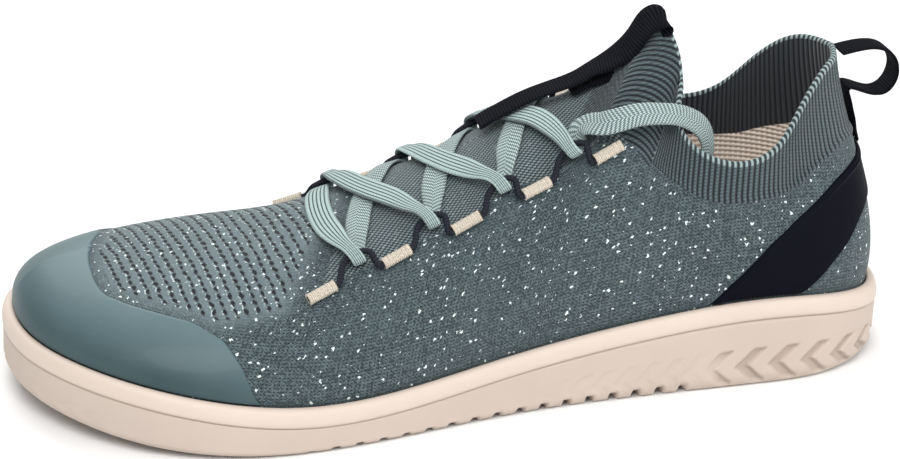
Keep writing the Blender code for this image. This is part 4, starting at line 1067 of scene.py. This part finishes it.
# %% Elastic cords and their thread-wrapped bars
def cord_line(side):
    """Through the bars of one side, and between each two of them up to the lace, round it and down again:
    a tight turn at each bar's end, then nearly straight to the fold."""
    ends = eyes(side)
    path = []
    spare = CORD_DIAMETER * 0.55
    for number, (start, end, axis, _) in enumerate(ends):
        path += [start + axis * 0.0004] if number == 0 else [start - axis * spare, start + axis * spare]
        path += [end - axis * 0.0004] if number == len(ends) - 1 else [end - axis * spare, end + axis * spare]
        if number < len(ends) - 1:
            centre, run, _, _ = fold(side, number + 1)
            a = centre - run * FOLD_RUN * 0.42
            b = centre + run * FOLD_RUN * 0.42
            leave = end + axis * spare
            ahead = ends[number + 1][2]
            following = ends[number + 1][0] - ahead * spare
            reach = np.linalg.norm(a - leave)
            path += list(hermite(leave, a, axis * reach * 0.55, run * reach * 0.7)[1:])
            reach = np.linalg.norm(following - b)
            path += list(hermite(b, following, run * reach * 0.7, ahead * reach * 0.55)[:-1])
    return np.array(path), ends[0][3]


THREAD_PITCH = 0.00045
for side, word in ((1, "lateral"), (-1, "medial")):
    line, up = cord_line(side)
    made = Builder()
    tube(made, again(line)[0], CORD_DIAMETER / 2, 14, up)
    made.finish("cord_" + word, CORD, ["lace_cord_" + word], "elastic_cord")
    for number, (start, end, axis, normal) in enumerate(eyes(side), 1):
        made = Builder()
        share = np.linspace(0, 1, 90)
        line = start + (end - start) * share[:, None]
        # a sine for the turns of the thread, thicker towards both ends
        wrap = 0.00009 * np.sin(share * TUNNEL_LENGTH / THREAD_PITCH * 2 * math.pi)
        wrap = wrap + 0.00012 * np.exp(-(np.minimum(share, 1 - share) / 0.06) ** 2)
        line = np.vstack([line[:1], line, line[-1:]])
        radius = np.concatenate([[0.0011], TUNNEL_DIAMETER / 2 - 0.0001 + wrap, [0.0011]])
        tube(made, line + axis * np.linspace(-1e-6, 1e-6, 92)[:, None], radius, 20, normal)
        made.finish("bar_%s_%d" % (word, number), THREAD, ["cord_tunnel_%s_%d" % (word, number)], "thread")

# %% Lace through the folds
path, facing, width = lace_line()
first_facing = facing[0]
line, facing, width = again(path, facing, width)
# the two faces trade places at the top of the fourth bend, where the braid turns over in the photograph
swap = travel(line) < travel(np.array(path))[3 * (BEND_POINTS + LEG_POINTS) + 3]
made = Builder()
ribbon(made, line, facing, np.clip(width, LACE_PINCH * 0.95, LACE_WIDTH), LACE_THICKNESS, swap=swap)
made.finish("lace_crossed", LACE, ["lace"], "lace_braid")

# %% Free end of the lace
# x as a share of LENGTH, y as a share of BALL_WIDTH, z as a share of TONGUE_HEIGHT, and the way it faces
LACE_END = [
    (0.388, 0.17, 0.75, 0.3, 0.45, 0.85), (0.379, 0.197, 0.78, 0.2, 0.7, 0.7),
    (0.37, 0.23, 0.791, 0.1, 0.85, 0.55), (0.353, 0.254, 0.808, 0, 0.92, 0.42),
    (0.334, 0.264, 0.822, 0, 0.94, 0.36), (0.3125, 0.264, 0.822, 0, 0.95, 0.32),
    (0.29, 0.255, 0.813, 0, 0.98, 0.25), (0.268, 0.232, 0.787, -0.1, 0.98, 0.2),
    (0.25, 0.208, 0.748, -0.35, 0.92, 0.2), (0.241, 0.192, 0.706, -0.5, 0.85, 0.1),
    (0.238, 0.182, 0.655, -0.5, 0.85, 0), (0.238, 0.175, 0.61, -0.5, 0.85, 0),
]
first_up = skin_normal(1, *FOLDS[-1][:2])
back = unit(path[0] - path[1])
table = np.array(LACE_END)
points = np.vstack([path[0] + back * (GAP + 0.0003), path[0] + back * 0.0014 + first_up * 0.0003,
                    table[:, :3] * [LENGTH, BALL_WIDTH, TONGUE_HEIGHT]])
start_face = first_facing * np.sign((first_facing * first_up).sum())
tail, tail_face = again(points, np.vstack([start_face, start_face, unit(table[:, 3:])]))
way = travel(tail)
wide = LACE_WIDTH * (0.7 + 0.22 * smooth(way / 0.008) - 0.1 * smooth((way - 0.02) / 0.02))
made = Builder()
ribbon(made, tail, unit(tail_face), wide, LACE_THICKNESS, swap=np.ones(len(tail), bool))
tail_piece = made.finish("lace_tail", LACE, ["lace_end"], "lace_braid")
print("free lace end", round(float(way[-1]) * 1000), "mm")

# %% Webbing loops
def webbing(points, count):
    """A smooth line through the points, and the way that its upper face looks, square to the line."""
    knots = travel(points)
    line = spline(knots, points, np.linspace(0, knots[-1], count))
    return line, np.cross([0, 1, 0], unit(np.gradient(line, axis=0)))


def tongue_loop():
    """Webbing sewn on the ridge above the lacing, up over the tongue's tip and back beneath itself.
    Each row: station on the ridge, height over the knit, reach past the tip in TONGUE_LOOP_REACH."""
    under = GAP + 0.0006 + WEBBING_THICKNESS / 2
    over = LEG_OVER + LACE_THICKNESS / 2 + GAP + 0.0004 + WEBBING_THICKNESS / 2
    rows = [(0.549, over - 0.0002, 0)]
    rows += [(station, over, 0) for station in (0.543, 0.533, 0.51, 0.485)]
    rows += [
        (0.463, over - 0.0004, 0), (0.44, over - 0.0006, 0), (TIP + 0.012, over + 0.0004, 0),
        (TIP + 0.002, over + 0.0014, 0.35), (TIP + 0.002, over - 0.0002, 0.92),
        (TIP + 0.002, over - 0.0024, 1), (TIP + 0.002, under + 0.0002, 0.62),
    ]
    rows += [(station, under, 0) for station in (TIP + 0.006, 0.432, 0.455, 0.475)]
    table = np.array(rows)
    spot = top_line(1, table[:, 0])[0]
    along = unit((top_line(1, table[:, 0] + 0.002)[0] - spot) * [1, 0, 1])
    normal = np.stack([-along[:, 2], np.zeros(len(rows)), along[:, 0]], -1)
    return webbing(spot + normal * table[:, 1:2] - along * table[:, 2:3] * TONGUE_LOOP_REACH, 240)


def heel_loop():
    """Webbing out from the collar's back, down, forward to the knit again and down over the seam."""
    clear = GAP + 0.0005 + WEBBING_THICKNESS / 2
    top, *seam = [skin(1, 0, level) + skin_normal(1, 0, level) * [1, 0, 1] * clear
                  for level in (0.975, 0.815, 0.775, 0.73, 0.67, 0.59)]
    # the loop itself: steps back to the knit from its far end, and down from its top
    bend = [(0.24, -0.0004 / HEEL_LOOP_HEIGHT), (0.03, 0.25), (0, 0.68), (0.14, 0.98), (0.42, 1.03)]
    in_x, in_z = (np.array(bend) * [HEEL_LOOP_REACH, HEEL_LOOP_HEIGHT]).T
    loop = np.stack([top[0] - HEEL_LOOP_REACH + in_x, 0 * in_x, top[2] - in_z], -1)
    return webbing(np.vstack([top, (top[0] - 0.35 * HEEL_LOOP_REACH, 0, top[2] + 0.0012), loop, seam]), 200)


def tilted(line):
    """Leans the webbing over to the outer side near the tongue's tip, as it lies in the photograph."""
    near = smooth((0.103 - line[:, 0]) / 0.015)
    line = line + near[:, None] * [0, 0.0035, -0.004]
    lean = math.radians(30) * near
    side = np.stack([0 * lean, np.cos(lean), -np.sin(lean)], -1)
    return line, np.cross(side, unit(np.gradient(line, axis=0)))


for (line, facing), word in ((tilted(tongue_loop()[0]), "tongue"), (heel_loop(), "heel")):
    made = Builder()
    sewn = smooth((0.078 - line[:, 2]) / 0.006) * (word == "heel")
    ribbon(made, line, facing, WEBBING_WIDTH, WEBBING_THICKNESS, columns=9, bow=0.001 * sewn)
    made.finish(word + "_loop", WEBBING, [word + "_pull_loop"], "dark_trim")


# %% [markdown]
# ## Floor, light and camera
#
# A pale floor and three large soft lights. The camera stands where the photograph was taken from: turned 16
# degrees from the outer side towards the toe, 24 degrees above the floor, rolled by 2.5 degrees.

# %% Floor and lights
paper = bpy.data.materials.new("floor_paper")
paper.use_nodes = True
shader = paper.node_tree.nodes["Principled BSDF"].inputs
shader["Base Color"].default_value = (0.86, 0.86, 0.86, 1)
shader["Roughness"].default_value = 0.9
plane = bpy.data.meshes.new("floor")
plane.from_pydata([(-3, -3, 0), (3, -3, 0), (3, 3, 0), (-3, 3, 0)], [], [(0, 1, 2, 3)])
plane.materials.append(paper)
floor = bpy.data.objects.new("floor", plane)
link(floor)


def area_light(name, place, target, size, power):
    """A round soft lamp that looks from its place at the target."""
    lamp = bpy.data.lights.new(name, "AREA")
    lamp.shape = "DISK"
    lamp.size = size
    lamp.energy = power
    made = bpy.data.objects.new(name, lamp)
    made.location = place
    made.rotation_mode = "QUATERNION"
    made.rotation_quaternion = (Vector(target) - Vector(place)).to_track_quat("-Z", "Y")
    link(made)


area_light("key", (0.35, 0.75, 1.1), (0, 0, 0.04), 0.9, 13)
area_light("fill", (-0.9, 0.7, 0.6), (0, 0, 0.05), 1, 7)
area_light("back", (0.1, -0.9, 0.9), (0, 0, 0.05), 1, 9)
bpy.context.scene.view_settings.view_transform = "Standard"
world = bpy.data.worlds.new("studio")
bpy.context.scene.world = world
world.use_nodes = True
backdrop = world.node_tree.nodes["Background"].inputs
backdrop[0].default_value = (1, 1, 1, 1)
backdrop[1].default_value = 0.5
print("lights", len(bpy.data.lights))

# %% Camera
TARGET = np.array([0.15, 0, 0.045])
DISTANCE = 0.98299
turn, tilt, roll = math.radians(16.394), math.radians(23.908), math.radians(2.504)
back = np.array([math.sin(turn) * math.cos(tilt), math.cos(turn) * math.cos(tilt), math.sin(tilt)])
right = np.array([-math.cos(turn), math.sin(turn), 0])
up = np.cross(back, right)
up = up * np.sign(up[2])
turned_right = math.cos(roll) * right + math.sin(roll) * up
turned_up = -math.sin(roll) * right + math.cos(roll) * up
camera = bpy.data.objects.new("camera", bpy.data.cameras.new("camera"))
link(camera)
camera.data.sensor_width = 36
camera.data.lens = 124.45
camera.data.shift_x = 0.01686
camera.data.shift_y = 0.0069
camera.data.clip_start = 0.05
spot = TARGET + DISTANCE * back + SHIFT
pose = np.eye(4)
pose[:3] = np.stack([turned_right, turned_up, back, spot], -1)
camera.matrix_world = Matrix(pose.tolist())
bpy.context.scene.camera = camera
